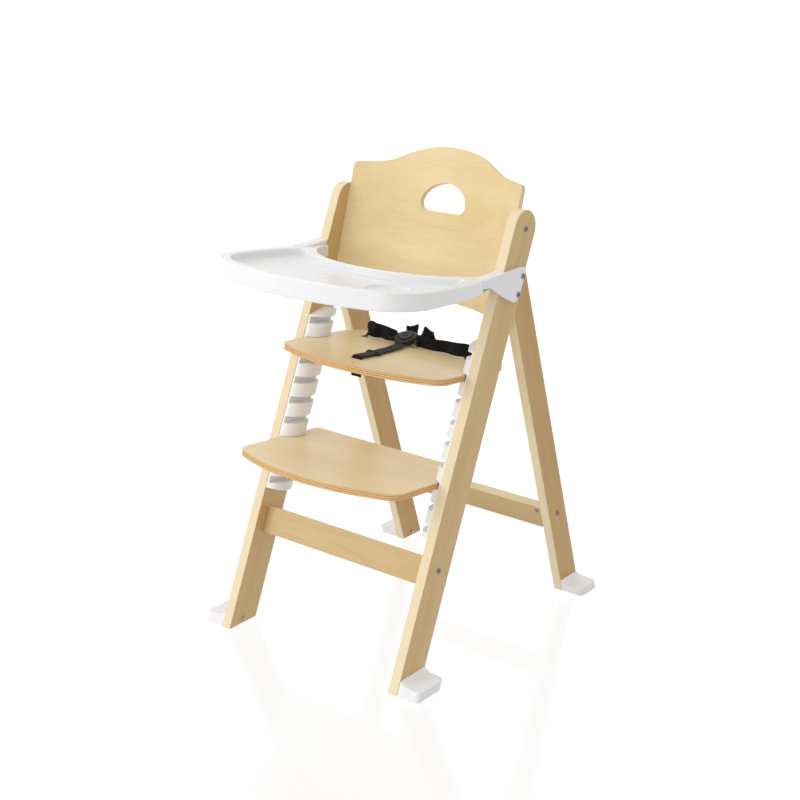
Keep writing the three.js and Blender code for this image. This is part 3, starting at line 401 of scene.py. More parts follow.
# ---------- Mesh helpers ----------
def curve(kind, *points, steps=10):
    """Points of a quadratic or cubic Bezier, without its first."""
    found = []
    for step in range(1, steps + 1):
        t = step / steps
        if kind == 2:
            weights = ((1 - t) ** 2, 2 * t * (1 - t), t * t)
        else:
            weights = ((1 - t) ** 3, 3 * t * (1 - t) ** 2, 3 * t * t * (1 - t), t**3)
        found.append(tuple(sum(w * p[k] for w, p in zip(weights, points)) for k in (0, 1)))
    return found


def arc(centre, radius, start, end, steps=12):
    """Points of an arc, both ends among them; angles in radians."""
    angles = [start + (end - start) * step / steps for step in range(steps + 1)]
    return [(centre[0] + radius * math.cos(a), centre[1] + radius * math.sin(a)) for a in angles]


def mirrored(right):
    """A whole outline from its right half, which starts and ends on u = 0."""
    return right + [(-u, v) for u, v in reversed(right[1:-1])]


def tidy(outline):
    """The outline without the points that all but repeat the next one."""
    return [p for p, q in zip(outline, outline[1:] + outline[:1]) if math.dist(p, q) > 0.02]


def plate(outline, low, high, holes=(), rounding=1.2, segments=3):
    """A plate in (u, v), from w = low to high, with its rim edges rounded."""
    bm = bmesh.new()
    edges = []
    for loop in [outline, *holes]:
        verts = [bm.verts.new((u, v, low)) for u, v in tidy(loop)]
        edges += [bm.edges.new(pair) for pair in zip(verts, verts[1:] + verts[:1])]
    bmesh.ops.triangle_fill(bm, use_beauty=True, use_dissolve=False, edges=edges)
    made = bmesh.ops.extrude_face_region(bm, geom=bm.faces[:])
    top = [v for v in made["geom"] if isinstance(v, bmesh.types.BMVert)]
    bmesh.ops.translate(bm, verts=top, vec=(0, 0, high - low))
    bmesh.ops.recalc_face_normals(bm, faces=bm.faces[:])
    if rounding:
        rim = [e for e in bm.edges if len({abs(f.normal.z) > 0.5 for f in e.link_faces}) == 2]
        bmesh.ops.bevel(
            bm, geom=rim, offset=rounding, segments=segments, profile=0.5, affect="EDGES",
            clamp_overlap=True,
        )
    return bm


def merge(*parts):
    """Several bmeshes as one."""
    whole = parts[0]
    for part in parts[1:]:
        mesh = bpy.data.meshes.new("part")
        part.to_mesh(mesh)
        part.free()
        whole.from_mesh(mesh)
        bpy.data.meshes.remove(mesh)
    return whole


def block(x0, x1, y0, y1, z0, z1, rounding=0.8):
    """A box with its upright and its rim edges rounded."""
    return plate([(x0, y0), (x1, y0), (x1, y1), (x0, y1)], z0, z1, rounding=rounding)


def lathe(profile, steps=32):
    """A turned solid round z, from (radius, z) points that start and end on the axis."""
    bm = bmesh.new()
    rings = []
    for radius, z in profile:
        if radius < 1e-6:
            rings.append([bm.verts.new((0, 0, z))])
            continue
        turns = [2 * math.pi * step / steps for step in range(steps)]
        rings.append([bm.verts.new((radius * math.cos(a), radius * math.sin(a), z)) for a in turns])
    for lower, upper in zip(rings, rings[1:]):
        for step in range(steps):
            after = (step + 1) % steps
            corners = [lower[step % len(lower)], lower[after % len(lower)]]
            corners += [upper[after % len(upper)], upper[step % len(upper)]]
            bm.faces.new(list(dict.fromkeys(corners)))
    bmesh.ops.recalc_face_normals(bm, faces=bm.faces[:])
    return bm


def combined(bm, others, operation):
    """bm with other bmeshes cut from it or kept in common with it, by exact booleans."""
    base = bpy.data.objects.new("base", bpy.data.meshes.new("base"))
    bm.to_mesh(base.data)
    bm.free()
    bpy.context.scene.collection.objects.link(base)
    for other in others:
        tool = bpy.data.objects.new("tool", bpy.data.meshes.new("tool"))
        other.to_mesh(tool.data)
        other.free()
        bpy.context.scene.collection.objects.link(tool)
        modifier = base.modifiers.new("cut", "BOOLEAN")
        modifier.operation = operation
        modifier.solver = "EXACT"
        modifier.object = tool
        evaluated = base.evaluated_get(bpy.context.evaluated_depsgraph_get())
        made = bpy.data.meshes.new_from_object(evaluated)
        base.modifiers.clear()
        base.data = made
        bpy.data.objects.remove(tool)
    result = bmesh.new()
    result.from_mesh(base.data)
    bpy.data.objects.remove(base)
    return result


def soften(bm, width, segments, angle):
    """Rounds every edge that is sharper than the angle."""
    bmesh.ops.remove_doubles(bm, verts=bm.verts[:], dist=0.01)
    bmesh.ops.dissolve_limit(bm, angle_limit=rad(1), verts=bm.verts[:], edges=bm.edges[:])
    sharp = [e for e in bm.edges if len(e.link_faces) == 2 and e.calc_face_angle(0) > rad(angle)]
    bmesh.ops.bevel(
        bm, geom=sharp, offset=width, segments=segments, profile=0.5, affect="EDGES",
        clamp_overlap=True,
    )
    return bm


UPRIGHT = Matrix.Rotation(rad(90), 4, "X")  # a plate's v up and its w to the front
U_BACK = Matrix(((0, 0, 1, 0), (1, 0, 0, 0), (0, 1, 0, 0), (0, 0, 0, 1)))  # u back, v up, w right
SIDEWAYS = Matrix.Translation((0, SHIFT, 0)) @ U_BACK


def side_grain(lean):
    """Turns a side plate's (y, z, x) into along, across and through a leg with that lean."""
    s, c = math.sin(lean), math.cos(lean)
    return Matrix(((s, c, 0), (c, -s, 0), (0, 0, 1)))


def piece(name, bm, placing, materials, body, stands_for=(), grain=None, offset=0.0,
          sign=1, sharp=40, second=None):
    """Makes a bmesh in millimetres into a named object that rides on a CAD body.

    Faces that `second` picks take the second material, and a sign of -1 mirrors the piece."""
    mesh = bpy.data.meshes.new(name)
    bmesh.ops.recalc_face_normals(bm, faces=bm.faces[:])
    if second:
        for face in bm.faces:
            face.material_index = int(second(face))
    bm.to_mesh(mesh)
    bm.free()
    turn = grain or Matrix.Identity(3)
    layer = mesh.attributes.new("grain", "FLOAT_VECTOR", "POINT")
    flat = []
    for vertex in mesh.vertices:
        along, across, through = turn @ vertex.co * MM
        flat += [along + offset, across + offset / 3, through]
    layer.data.foreach_set("vector", flat)
    mesh.transform(Matrix.Diagonal((sign * MM, MM, MM, 1)) @ placing)
    if sign < 0:
        mesh.flip_normals()
    for material in materials:
        mesh.materials.append(material)
    mesh.shade_smooth()
    mesh.set_sharp_from_angle(angle=rad(sharp))
    obj = bpy.data.objects.new(name, mesh)
    bpy.context.scene.collection.objects.link(obj)
    obj.modifiers.new("weighted", "WEIGHTED_NORMAL").keep_sharp = True
    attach(obj, body)
    if stands_for:
        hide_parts(*stands_for)
    return obj


def is_rim(face):
    """Whether a face of a plate shows its plies."""
    return abs(face.normal.z) < 0.9


SIDES = (("right", 1), ("left", -1))


# ---------- Legs and crossbars ----------
def front_leg():
    centre = (front_centre(leg_top_z), leg_top_z)
    top = arc(centre, FRONT_WIDTH / 2, -FRONT_LEAN, math.pi - FRONT_LEAN, 40)
    return plate([(0, 0), (front_floor, 0), *top], LEG_INNER, LEG_OUTER, rounding=2.2, segments=4)


def rear_leg():
    def meets(floor_y):
        """Where an edge that stands at floor_y reaches the front leg."""
        z = (floor_y - front_floor - GAP / math.cos(FRONT_LEAN)) / (front_slope + rear_slope)
        return floor_y - rear_slope * z, z

    toe = rear_heel - rear_floor
    outline = [(toe, 0), (rear_heel, 0), meets(rear_heel), meets(toe)]
    return plate(outline, LEG_INNER, LEG_OUTER, rounding=2.2, segments=4)


for side, sign in SIDES:
    for name, build, lean, face in (
        ("front_leg", front_leg, FRONT_LEAN, LEG_SIDE_SHADED),
        ("rear_leg", rear_leg, -REAR_LEAN, REAR_LEG_SHADED),
    ):
        piece(f"{name}_{side}_wood", build(), SIDEWAYS, [face, LEG_EDGE], "frame",
              [f"{name}_{side}"], side_grain(lean), offset=0.7 * sign + 2, sign=sign,
              second=is_rim)


def crossbar():
    half = BAR_HEIGHT / 2
    corners = [(-panel_half, -half), (panel_half, -half), (panel_half, half), (-panel_half, half)]
    return plate(corners, -BAR_THICKNESS / 2, BAR_THICKNESS / 2, rounding=2, segments=4)


def nut_face():
    """The slotted end of a barrel nut, with its sunken rim, facing up."""
    disc = lathe([(0, -1.5), (5, -1.5), (5, 0.05), (4.5, 0.35), (0, 0.35)])
    return combined(disc, [block(-4.2, 4.2, -0.6, 0.6, -0.5, 2, rounding=0)], "DIFFERENCE")


for name, y, z, lean, rise, faces in (
    ("front", front_centre(FRONT_BAR_Z), FRONT_BAR_Z, -FRONT_LEAN, FRONT_NUT_RISE, -1),
    ("rear", rear_centre(REAR_BAR_Z), REAR_BAR_Z, REAR_LEAN, REAR_NUT_RISE, 1),
):
    bar_frame = tilted(y, z, lean) @ UPRIGHT
    piece(f"{name}_crossbar_wood", crossbar(), bar_frame, [BAR_SIDE_SHADED, LEG_EDGE], "frame",
          [f"{name}_crossbar"], offset=0.9 * faces + 3, second=is_rim)
    turned = Matrix.Rotation(0 if faces > 0 else math.pi, 4, "X")
    place = (LEG_INNER - BARREL_NUT_INSET, rise, faces * BAR_THICKNESS / 2)
    at = bar_frame @ Matrix.Translation(place) @ turned
    for side, sign in SIDES:
        piece(f"{name}_nut_face_{side}", nut_face(), at, [STEEL], "frame",
              [f"{name}_barrel_nut_{side}"], sign=sign)


# ---------- Backrest ----------
def backrest_outline():
    half, corner, bottom, side, hump = panel_half, 12, -173, 69, 133.5
    level = bottom + BACK_SAG * math.sin(BACK_LEAN)
    shoulder = side + corner - 2
    right = [(0, level)]
    right += curve(2, right[-1], (half / 2, level), (half - 36, bottom + 2), steps=24)
    right += curve(2, right[-1], (half, bottom - 1), (half, bottom + 36), steps=14)
    right += [(half, side)]
    right += curve(2, right[-1], (half, shoulder), (half - corner, shoulder + 1), steps=10)
    right += [(150, shoulder + 8)]
    right += curve(3, right[-1], (118, shoulder + 14), (104, hump - 24), (76, hump - 14), steps=20)
    right += curve(3, right[-1], (48, hump - 3), (22, hump), (0, hump), steps=20)
    return mirrored(right)


def handle_outline():
    half, bottom, top = 53, 7, 63
    right = [(0, bottom), (half - 18, bottom)]
    right += curve(2, right[-1], (half, bottom), (half, bottom + 18), steps=12)
    right += curve(3, right[-1], (half - 4, bottom + 42), (24, top), (0, top), steps=22)
    return mirrored(right)


def backrest():
    """The panel, cut into narrow strips and bent so that its middle lies back."""
    bm = plate(backrest_outline(), -BACK_THICKNESS, 0, [handle_outline()], rounding=2.4, segments=5)
    strip = 8
    for step in range(-24, 25):
        everything = bm.verts[:] + bm.edges[:] + bm.faces[:]
        bmesh.ops.bisect_plane(bm, geom=everything, plane_co=(step * strip, 0, 0), plane_no=(1, 0, 0))
    radius = (panel_half**2 + BACK_SAG**2) / (2 * BACK_SAG)
    centre = BACK_SAG - BACK_THICKNESS / 2 - radius
    for vertex in bm.verts:
        vertex.co.z = -(centre + math.sqrt((radius - vertex.co.z) ** 2 - vertex.co.x**2))
    return bm


def is_back_edge(face):
    """Whether a face of the bent panel shows its plies."""
    at_side = abs(face.calc_center_median().x) > panel_half - 1.2
    return abs(face.normal.z) < 0.62 and (abs(face.normal.y) > 0.35 or at_side)


piece("backrest_wood", backrest(), BACK_FRAME @ UPRIGHT, [BACK_FACE, BACK_EDGE], "frame", ["backrest"],
      offset=4.3, second=is_back_edge)


# ---------- Seat and footrest boards ----------
def board_outline(front, rear, rear_corner):
    """A board from above: a bowed front with small corners, straight sides and rounder rear corners."""
    radius, corner = BOARD_FRONT_RADIUS, BOARD_CORNER_RADIUS
    arc_y = radius - front
    corner_x = board_half - corner
    corner_y = arc_y - math.sqrt((radius - corner) ** 2 - corner_x**2)
    meets = math.atan2(corner_y - arc_y, corner_x)
    rear_x = board_half - rear_corner
    rear_y = rear - rear_corner
    outline = arc((0, arc_y), radius, -math.pi - meets, meets, 60)
    outline += arc((corner_x, corner_y), corner, meets, 0, 14)
    outline += arc((rear_x, rear_y), rear_corner, 0, math.pi / 2, 20)
    outline += arc((-rear_x, rear_y), rear_corner, math.pi / 2, math.pi, 20)
    outline += arc((-corner_x, corner_y), corner, math.pi, math.pi - meets, 14)
    return outline


def slit(x, y, width, depth):
    """A slit with round ends, wider than it is deep or the other way round."""
    radius = min(width, depth) / 2
    reach_x = width / 2 - radius
    reach_y = depth / 2 - radius
    outline = []
    for quarter, (sx, sy) in enumerate(((1, 1), (-1, 1), (-1, -1), (1, -1))):
        start = quarter * math.pi / 2
        centre = (x + sx * reach_x, y + sy * reach_y)
        outline += arc(centre, radius, start, start + math.pi / 2, 5)
    return outline


def board(outline, holes=()):
    half = BOARD_THICKNESS / 2
    return plate(outline, -half, half, holes, rounding=1.5, segments=3)


seat_outline = board_outline(SEAT_REACH_FRONT, SEAT_REACH_REAR, SEAT_REAR_CORNER)
seat_slits = [slit(*CROTCH_SLIT, CROTCH_STRAP_WIDTH + 2 * SLIT_CLEARANCE, SLIT_DEPTH)]
for _, sign in SIDES:
    seat_slits.append(slit(sign * LAP_SLIT_X, BUCKLE_Y, SLIT_DEPTH, STRAP_WIDTH + 2 * SLIT_CLEARANCE))
piece("seat_board_wood", board(seat_outline, seat_slits), SEAT_FRAME,
      [BOARD_FACE, BOARD_EDGE], "seat", ["seat_board"], offset=1.9, second=is_rim)
footrest_outline = board_outline(FOOTREST_REACH_FRONT, FOOTREST_REACH_REAR, FOOTREST_REAR_CORNER)
piece("footrest_board_wood", board(footrest_outline), FOOTREST_FRAME,
      [BOARD_FACE, BOARD_EDGE], "footrest", ["footrest_board"], offset=3.3, second=is_rim)


# ---------- Side rails ----------
def rail_bar():
    """A half-oval bar up the leg, longer than the rail at both ends."""
    half = (FRONT_WIDTH - RAIL_FRONT_INSET - RAIL_REAR_INSET) / 2
    middle = RAIL_FRONT_INSET + half
    steps = 26
    spare = 60
    section = []
    for step in range(steps + 1):
        angle = math.pi / 2 + math.pi * step / steps
        section.append((panel_half + RAIL_DEPTH * math.cos(angle), middle + half * math.sin(angle)))
    low = slot_z(SLOT_COUNT - 1) / math.cos(FRONT_LEAN) - spare
    high = (top_slot_z + spare) / math.cos(FRONT_LEAN)
    bar = plate(section, low, high, rounding=0)
    bar.transform(Matrix.Rotation(-FRONT_LEAN, 4, "X"))
    return bar


def rail_ends():
    """The rail's outline from the side, with its rounded lower and upper ends, as a thick plate."""
    low, top = slot_z(SLOT_COUNT - 1), top_slot_z
    back, centre = front_back(top), front_centre(top)
    ends = [(front_edge(low) - 10, low - 10)]
    ends += curve(2, ends[-1], (front_centre(low), low - 32), (front_back(low), low - 18), steps=14)
    ends += [(back, top + 3)]
    ends += curve(2, ends[-1], (back - 12, top + 26), (centre + 6, top + 20))
    ends += curve(2, ends[-1], (centre - 14, top + 18), (front_edge(top) - 4, top + 10))
    shaped = plate(ends, panel_half - RAIL_DEPTH - 1, LEG_INNER, rounding=0)
    shaped.transform(U_BACK)
    return shaped


def slot_cutter(index):
    half = SLOT_HEIGHT / 2
    cutter = block(panel_half - RAIL_DEPTH - 2, slot_bottom, -90, 90, -half, half, 0)
    placed = Matrix.Translation((0, front_centre(slot_z(index)), slot_z(index)))
    cutter.transform(placed @ Matrix.Rotation(-TILT, 4, "X"))
    return cutter


def side_rail():
    """A half-oval bar with shaped ends, crossed by the slots that the boards rest in."""
    bar = combined(rail_bar(), [rail_ends()], "INTERSECT")
    cutters = [slot_cutter(index) for index in range(SLOT_COUNT)]
    return soften(combined(bar, cutters, "DIFFERENCE"), 0.9, 3, 40)


for side, sign in SIDES:
    piece(f"side_rail_{side}_shell", side_rail(), Matrix.Translation((0, SHIFT, 0)), [WHITE], "frame",
          [f"side_rail_{side}"], sign=sign)


# ---------- Feet ----------
def foot(centre, floor_width, slope):
    """A pad beside the leg that curves up into a low wall along it, sheared to the leg's slope."""
    inner = LEG_OUTER + GAP
    outer = LEG_OUTER + FOOT_REACH
    corner = FOOT_CORNER_RADIUS
    profile = [(inner, 0), (outer, 0), (outer, 16.5)]
    profile += curve(2, profile[-1], (outer, 18), (outer - 3, 18.3), steps=6)
    profile += [(inner + 18, 18.8)]
    profile += curve(2, profile[-1], (inner + 8, 19.6), (inner + 1.6, 25.6), steps=12)
    profile += [(inner, FOOT_WALL_HEIGHT)]
    y0 = centre - floor_width / 2 + 1
    y1 = y0 + floor_width - 2
    plan = [(inner, y0)] + arc((outer - corner, y0 + corner), corner, -math.pi / 2, 0, 14)
    plan += arc((outer - corner, y1 - corner), corner, 0, math.pi / 2, 14) + [(inner, y1)]
    body = plate(profile, -y1, -y0, rounding=0)
    body.transform(UPRIGHT)
    body = soften(combined(body, [plate(plan, -1, 40, rounding=0)], "INTERSECT"), 1.6, 4, 35)
    body.transform(Matrix(((1, 0, 0, 0), (0, 1, slope, SHIFT), (0, 0, 1, 0), (0, 0, 0, 1))))
    return body


for side, sign in SIDES:
    for name, centre, width, slope in (
        ("front", front_centre(0), front_floor, front_slope),
        ("rear", rear_centre(0), rear_floor, -rear_slope),
    ):
        piece(f"{name}_foot_{side}_shell", foot(centre, width, slope), Matrix.Identity(4), [FOOT_WHITE],
              "frame", [f"{name}_foot_{side}"], sign=sign)


# ---------- Tray ----------
TRAY_FRONT_REACH = 279
TRAY_FRONT_RADIUS = 560
TRAY_CORNER_RADIUS = 105
TRAY_RIM = 20
TRAY_BELLY_DEPTH = 74
SKIRT_FRONT = 36
SKIRT_REAR = 25
PAN_DEPTH = 15
PAN_FLOOR = 3
FIN_INNER = panel_half - 5
FIN_REACH = 68
TONGUE_X = bracket_outer - 13.2
TONGUE_WIDTH = 9
TONGUE_LENGTH = 55
TONGUE_TOP = -3  # below the tray's rim
TONGUE_HEIGHT = 11.5
TONGUE_CLEARANCE = 1.2
CUP_CENTRE = (125, -148)
CUP_RADIUS = 41


def tray_front(rim):
    """The right half of the tray's front and its corner, drawn in by rim."""
    radius = TRAY_FRONT_RADIUS - rim
    corner = TRAY_CORNER_RADIUS - rim
    arc_y = TRAY_FRONT_RADIUS - TRAY_FRONT_REACH
    corner_x = tray_half - rim - corner
    corner_y = arc_y - math.sqrt((radius - corner) ** 2 - corner_x**2)
    meets = math.atan2(corner_y - arc_y, corner_x)
    front = arc((0, arc_y), radius, -math.pi / 2, meets, 26)
    return front + arc((corner_x, corner_y), corner, meets, 0, 30)


def tray_outline(rim, belly):
    """The tray from above: its outline, or the same drawn in by rim and, at its back, by belly."""
    half = tray_half - rim
    back = -TRAY_BELLY_DEPTH - belly
    right = tray_front(rim)
    if belly:
        right += curve(2, right[-1], (half, -70), (FIN_INNER, -rim), steps=16) + [(FIN_INNER, 0)]
        right += curve(3, right[-1], (182, -22), (112, back), (0, back), steps=34)
    else:
        right += curve(2, right[-1], (half, -70), (bracket_outer - rim, 0), steps=16)
        right += [(panel_half, 0), (panel_half, FIN_REACH), (FIN_INNER, FIN_REACH)]
        right += curve(3, right[-1], (FIN_INNER - 6, 4), (116, back), (0, back), steps=34)
    return mirrored(right)


def pan_outline():
    """The pan's outline, with every corner eased."""
    back = -TRAY_BELLY_DEPTH - 4
    right = tray_front(TRAY_RIM)
    right += curve(2, right[-1], (tray_half - TRAY_RIM, -66), (FIN_INNER + 6, -26), steps=16)
    right += curve(2, right[-1], (FIN_INNER - 2, -8), (FIN_INNER - 16, -18), steps=10)
    right += curve(3, right[-1], (162, -36), (106, back), (0, back), steps=34)
    return mirrored(right)


def drawn_in(outline, distance):
    """The outline moved inwards; it runs anticlockwise."""
    moved = []
    count = len(outline)
    for index, (u, v) in enumerate(outline):
        u0, v0 = outline[index - 1]
        u1, v1 = outline[(index + 1) % count]
        length = math.hypot(u1 - u0, v1 - v0)
        moved.append((u - distance * (v1 - v0) / length, v + distance * (u1 - u0) / length))
    return moved


def loft(rings, closed=False):
    """Joins rings of equally many points; closed also joins the last ring to the first."""
    bm = bmesh.new()
    made = [[bm.verts.new(point) for point in ring] for ring in rings]
    pairs = list(zip(made, made[1:])) + ([(made[-1], made[0])] if closed else [])
    for lower, upper in pairs:
        for index in range(len(lower)):
            after = (index + 1) % len(lower)
            bm.faces.new((lower[index], lower[after], upper[after], upper[index]))
    if not closed:
        bm.faces.new(made[0][::-1])
        bm.faces.new(made[-1])
    bmesh.ops.recalc_face_normals(bm, faces=bm.faces[:])
    return bm


def skirt_z(y):
    """The height of the skirt's lower edge, which drops towards the front."""
    return -SKIRT_REAR - (SKIRT_FRONT - SKIRT_REAR) / TRAY_FRONT_REACH * max(-y, 0)


def tray_rim(pan):
    """The rim and skirt round the pan, hollow below, with a channel for each bracket's tongue."""
    level = -30
    rim = plate(tray_outline(0, 0), level, 0, [pan], rounding=2.6, segments=5)
    for vertex in rim.verts:
        if vertex.co.z < level / 2:
            vertex.co.z += skirt_z(vertex.co.y) - level
    deep = -60
    cutters = [plate(tray_outline(3, 3), deep, -PAN_DEPTH - PAN_FLOOR, rounding=0)]
    near = TONGUE_X - TONGUE_CLEARANCE
    far = TONGUE_X + TONGUE_WIDTH + TONGUE_CLEARANCE
    for ends in ((near, far), (-far, -near)):
        cutters.append(block(*ends, -60, 2, deep, -2.3, 0))
    return combined(rim, cutters, "DIFFERENCE")


def cup_recess():
    """A shallow round recess with a raised bead round its mouth."""
    profile = [(0, -8), (43, -8), (44, -3), (44, -0.9), (43.2, 0.0), (41.8, 0.35), (40.6, -0.3)]
    profile += [(39.8, -2.6), (38.4, -4.3), (36, -5), (0, -5)]
    cup = lathe(profile, 64)
    bmesh.ops.translate(cup, verts=cup.verts[:], vec=(*CUP_CENTRE, -PAN_DEPTH))
    return cup


def tray():
    """The rim, the pan's floor, the fillet between them and the cup recess."""
    pan = tidy(pan_outline())
    mouth = arc(CUP_CENTRE, CUP_RADIUS, 0, 2 * math.pi, 48)[:-1]
    floor = plate(drawn_in(pan, -1.5), -PAN_DEPTH - PAN_FLOOR, -PAN_DEPTH, [mouth], rounding=0)
    steps = [(0.0, 5.0), (0.5, 2.9), (1.5, 1.3), (3.0, 0.4)]
    steps += [(5.0, -0.05), (4.0, -1.0), (-1.0, -1.0), (-1.0, 5.0)]
    rings = []
    for inwards, height in steps:
        rings.append([(u, v, height - PAN_DEPTH) for u, v in drawn_in(pan, inwards)])
    return merge(tray_rim(pan), floor, loft(rings, closed=True), cup_recess())


piece("tray_shell", tray(), TRAY_FRAME, [WHITE], "tray", ["tray"], sharp=50)


# ---------- Tray brackets ----------
def tray_bracket():
    """A plate on the leg, an arm ahead of the leg and the tongue that the tray slides on."""
    def back(drop, inset):
        """A point on the plate, in from the leg's back edge and below the tray's rim."""
        return front_back(tray_z - drop) - inset, tray_z - drop

    z = tray_z
    low = z - BRACKET_ARM_HEIGHT
    high = z + 3
    front = tray_y + GAP
    outline = [(front, z), back(-4.5, 30)]
    outline += curve(2, outline[-1], back(-4, 4), back(14, 7), steps=10)
    outline += [back(50, 8)]
    outline += curve(2, outline[-1], back(62, 10), back(58, 27), steps=10)
    outline += [(front_edge(z - 37), z - 37), (tray_y + 27, z - 18)]
    outline += curve(2, outline[-1], (tray_y + 18, low), (front, low), steps=8)
    clear = GAP / math.cos(FRONT_LEAN)
    arm = [(front, low), (front_edge(low) - clear, low), (front_edge(high) - clear, high), (front, z)]
    side = plate(outline[::-1], LEG_OUTER + GAP, bracket_outer, rounding=1.6, segments=4)
    body = merge(side, plate(arm, LEG_INNER + GAP, bracket_outer - 0.2, rounding=1.6, segments=4))
    body.transform(SIDEWAYS)
    ends = (TONGUE_X, TONGUE_X + TONGUE_WIDTH)
    tongue = block(*ends, -TONGUE_LENGTH, 6, TONGUE_TOP - TONGUE_HEIGHT, TONGUE_TOP, 1.4)
    tongue.transform(TRAY_FRAME)
    return merge(body, tongue)


for side, sign in SIDES:
    piece(f"tray_bracket_{side}_shell", tray_bracket(), Matrix.Identity(4), [WHITE], "frame",
          [f"tray_bracket_{side}"], sign=sign)


# ---------- Harness ----------
def smooth_path(points, steps=6):
    """A smooth curve through the points (Catmull-Rom)."""
    points = [Vector(p) for p in points]
    ends = [2 * points[0] - points[1], *points, 2 * points[-1] - points[-2]]
    found = []
    for a, b, c, d in zip(ends, ends[1:], ends[2:], ends[3:]):
        for step in range(steps):
            t = step / steps
            linear_part = (c - a) * t
            square_part = (2 * a - 5 * b + 4 * c - d) * t**2
            cubic_part = (3 * b - a - 3 * c + d) * t**3
            found.append(0.5 * (2 * b + linear_part + square_part + cubic_part))
    return found + [points[-1]]


def ribbon(points, across, width, thickness=1.9, steps=6):
    """A strap along the points. across holds, at each, the way its width runs and, if it changes,
    a fourth number for how much of its width it has there."""
    path = smooth_path(points, steps)
    ways = smooth_path([tuple(a)[:3] for a in across], steps)
    spans = smooth_path([(tuple(a) + (1,))[3:4] + (0, 0) for a in across], steps)
    rings = []
    for index, point in enumerate(path):
        tangent = (path[min(index + 1, len(path) - 1)] - path[max(index - 1, 0)]).normalized()
        way = (ways[index] - tangent * ways[index].dot(tangent)).normalized()
        normal = tangent.cross(way)
        half = width * spans[index].x / 2
        ring = []
        for sample in range(16):
            angle = 2 * math.pi * (sample + 0.5) / 16
            c, s = math.cos(angle), math.sin(angle)
            flat = math.copysign(abs(c) ** 0.35, c) * half
            thick = math.copysign(abs(s) ** 0.8, s) * thickness / 2
            ring.append(point + way * flat + normal * thick)
        rings.append(ring)
    return loft(rings)


def lap_strap(side, rise):
    """Comes up through its slit, turns onto its edge and runs wavily to the buckle."""
    y = BUCKLE_Y
    outer = side * LAP_SLIT_X
    end = BUCKLE_X + side * (BUCKLE_RADIUS + 1)
    span = end - outer
    points = [(outer, y, STRAP_END_Z), (outer, y, -6), (outer, y, 4), (outer - side * 2.5, y, 10)]
    ways = [(0, 1, 0, 1)] * 3 + [(side * 0.1, 0.75, 0.65, 1)]
    # For each wave its share of the span, how far it sways and tips, and how high the strap stands.
    waves = [(0.12, 1.5, 0.25, rise), (0.3, -1.6, 0.1, rise - 1), (0.5, 1.8, -0.12, rise - 2)]
    waves += [(0.7, -0.8, 0.14, rise - 4), (0.88, 0.5, 0.0, 25), (1.0, 0.0, 0.0, 24)]
    for share, sway, tip, high in waves:
        points.append((outer + span * share, y + sway, 6.6 + high / 2))
        ways.append((0, tip, 1, high / STRAP_WIDTH))
    return ribbon(points, ways, STRAP_WIDTH)


def crotch_strap():
    """Comes up through its slit and lies along the seat, through the adjuster, to the buckle."""
    x, y = CROTCH_SLIT
    points = [(x, y, STRAP_END_Z), (x, y, -5), (x, y, 4), (x, y + 4, 9.8), (x, y + 14, 10.6)]
    points += [(x, -66, 10.3), (x, ADJUSTER_Y, 10.5), (-13, -20, 10.3), (-15, 10, 10.9)]
    points += [(-19, 36, 11.4), (-22, 54, 11.8)]
    ways = [(1, 0, 0)] * 5 + [(1, 0, 0.02), (1, 0, 0), (1, 0, -0.03)]
    ways += [(1, -0.05, 0.04), (1, -0.06, 0.02), (1, -0.05, 0)]
    return ribbon(points, ways, CROTCH_STRAP_WIDTH)


def shoulder_loop(side):
    """A shoulder strap's end folded back on itself behind the buckle."""
    turn = Matrix.Rotation(-side * SHOULDER_LOOP_TURN, 3, "Z")
    at = Vector((BUCKLE_X + side * SHOULDER_LOOP_SPREAD, BUCKLE_Y + BUCKLE_RADIUS + 6, 0))
    path = [(0, 0, 10.5), (2, 4, 19), (3, 9, 28), (2, 14, 34), (-1, 19, 29), (-2, 23, 19), (0, 26, 9.4)]
    slopes = (0, 0.15, 0.3, 0.42, 0.3, 0.15, 0)
    points = [at + turn @ Vector(p) for p in path]
    ways = [turn @ Vector((1, 0.1 * side, -side * slope)) for slope in slopes]
    return ribbon(points, ways, CROTCH_STRAP_WIDTH, steps=8)


def buckle_body():
    """A round buckle: a dished body with a raised ring, and a mouth for each strap's tongue."""
    profile = [(0, 0), (22.4, 0), (23.6, 0.8), (24, 2.4), (24, 6.6), (23.4, 8.4), (22, 9.8), (20.4, 10.8)]
    profile += [(18.4, 11), (16.4, 10.7), (15.7, 9.8), (15.6, 4), (0, 4)]
    body = lathe(profile, 64)
    mouths = []
    for turn in (0, 180, 270, 62, 118):
        mouth = block(19, 26, -8.5, 8.5, 3.6, 6.4, 0)
        mouth.transform(Matrix.Rotation(rad(turn), 4, "Z"))
        mouths.append(mouth)
    return soften(combined(body, mouths, "DIFFERENCE"), 0.4, 2, 50)


def strap_tongue():
    """A tongue's frame beside the buckle, which its strap is sewn round."""
    outline = [(0, -7), (4, -7.5), (7, -13), (14, -13), (14, 13), (7, 13), (4, 7.5), (0, 7)]
    return plate(outline, -1.6, 1.6, [slit(10.5, 0, 3.2, 21)], rounding=0.9, segments=3)


def buckle_button():
    """A dished round button with five short ribs across its middle."""
    profile = [(0, 6.5), (14.6, 6.5), (14.8, 11), (14.2, 12.2), (12.9, 12.9), (11.4, 13)]
    profile += [(10.4, 12.5), (6, 12.25), (0, 12.2)]
    pitch = 2.4
    ribs = []
    for order in (-2, -1, 0, 1, 2):
        half = 5 - 0.6 * abs(order)
        ribs.append(block(-half, half, order * pitch - 0.5, order * pitch + 0.5, 12.0, 12.7, 0.2))
    return merge(lathe(profile, 56), *ribs)


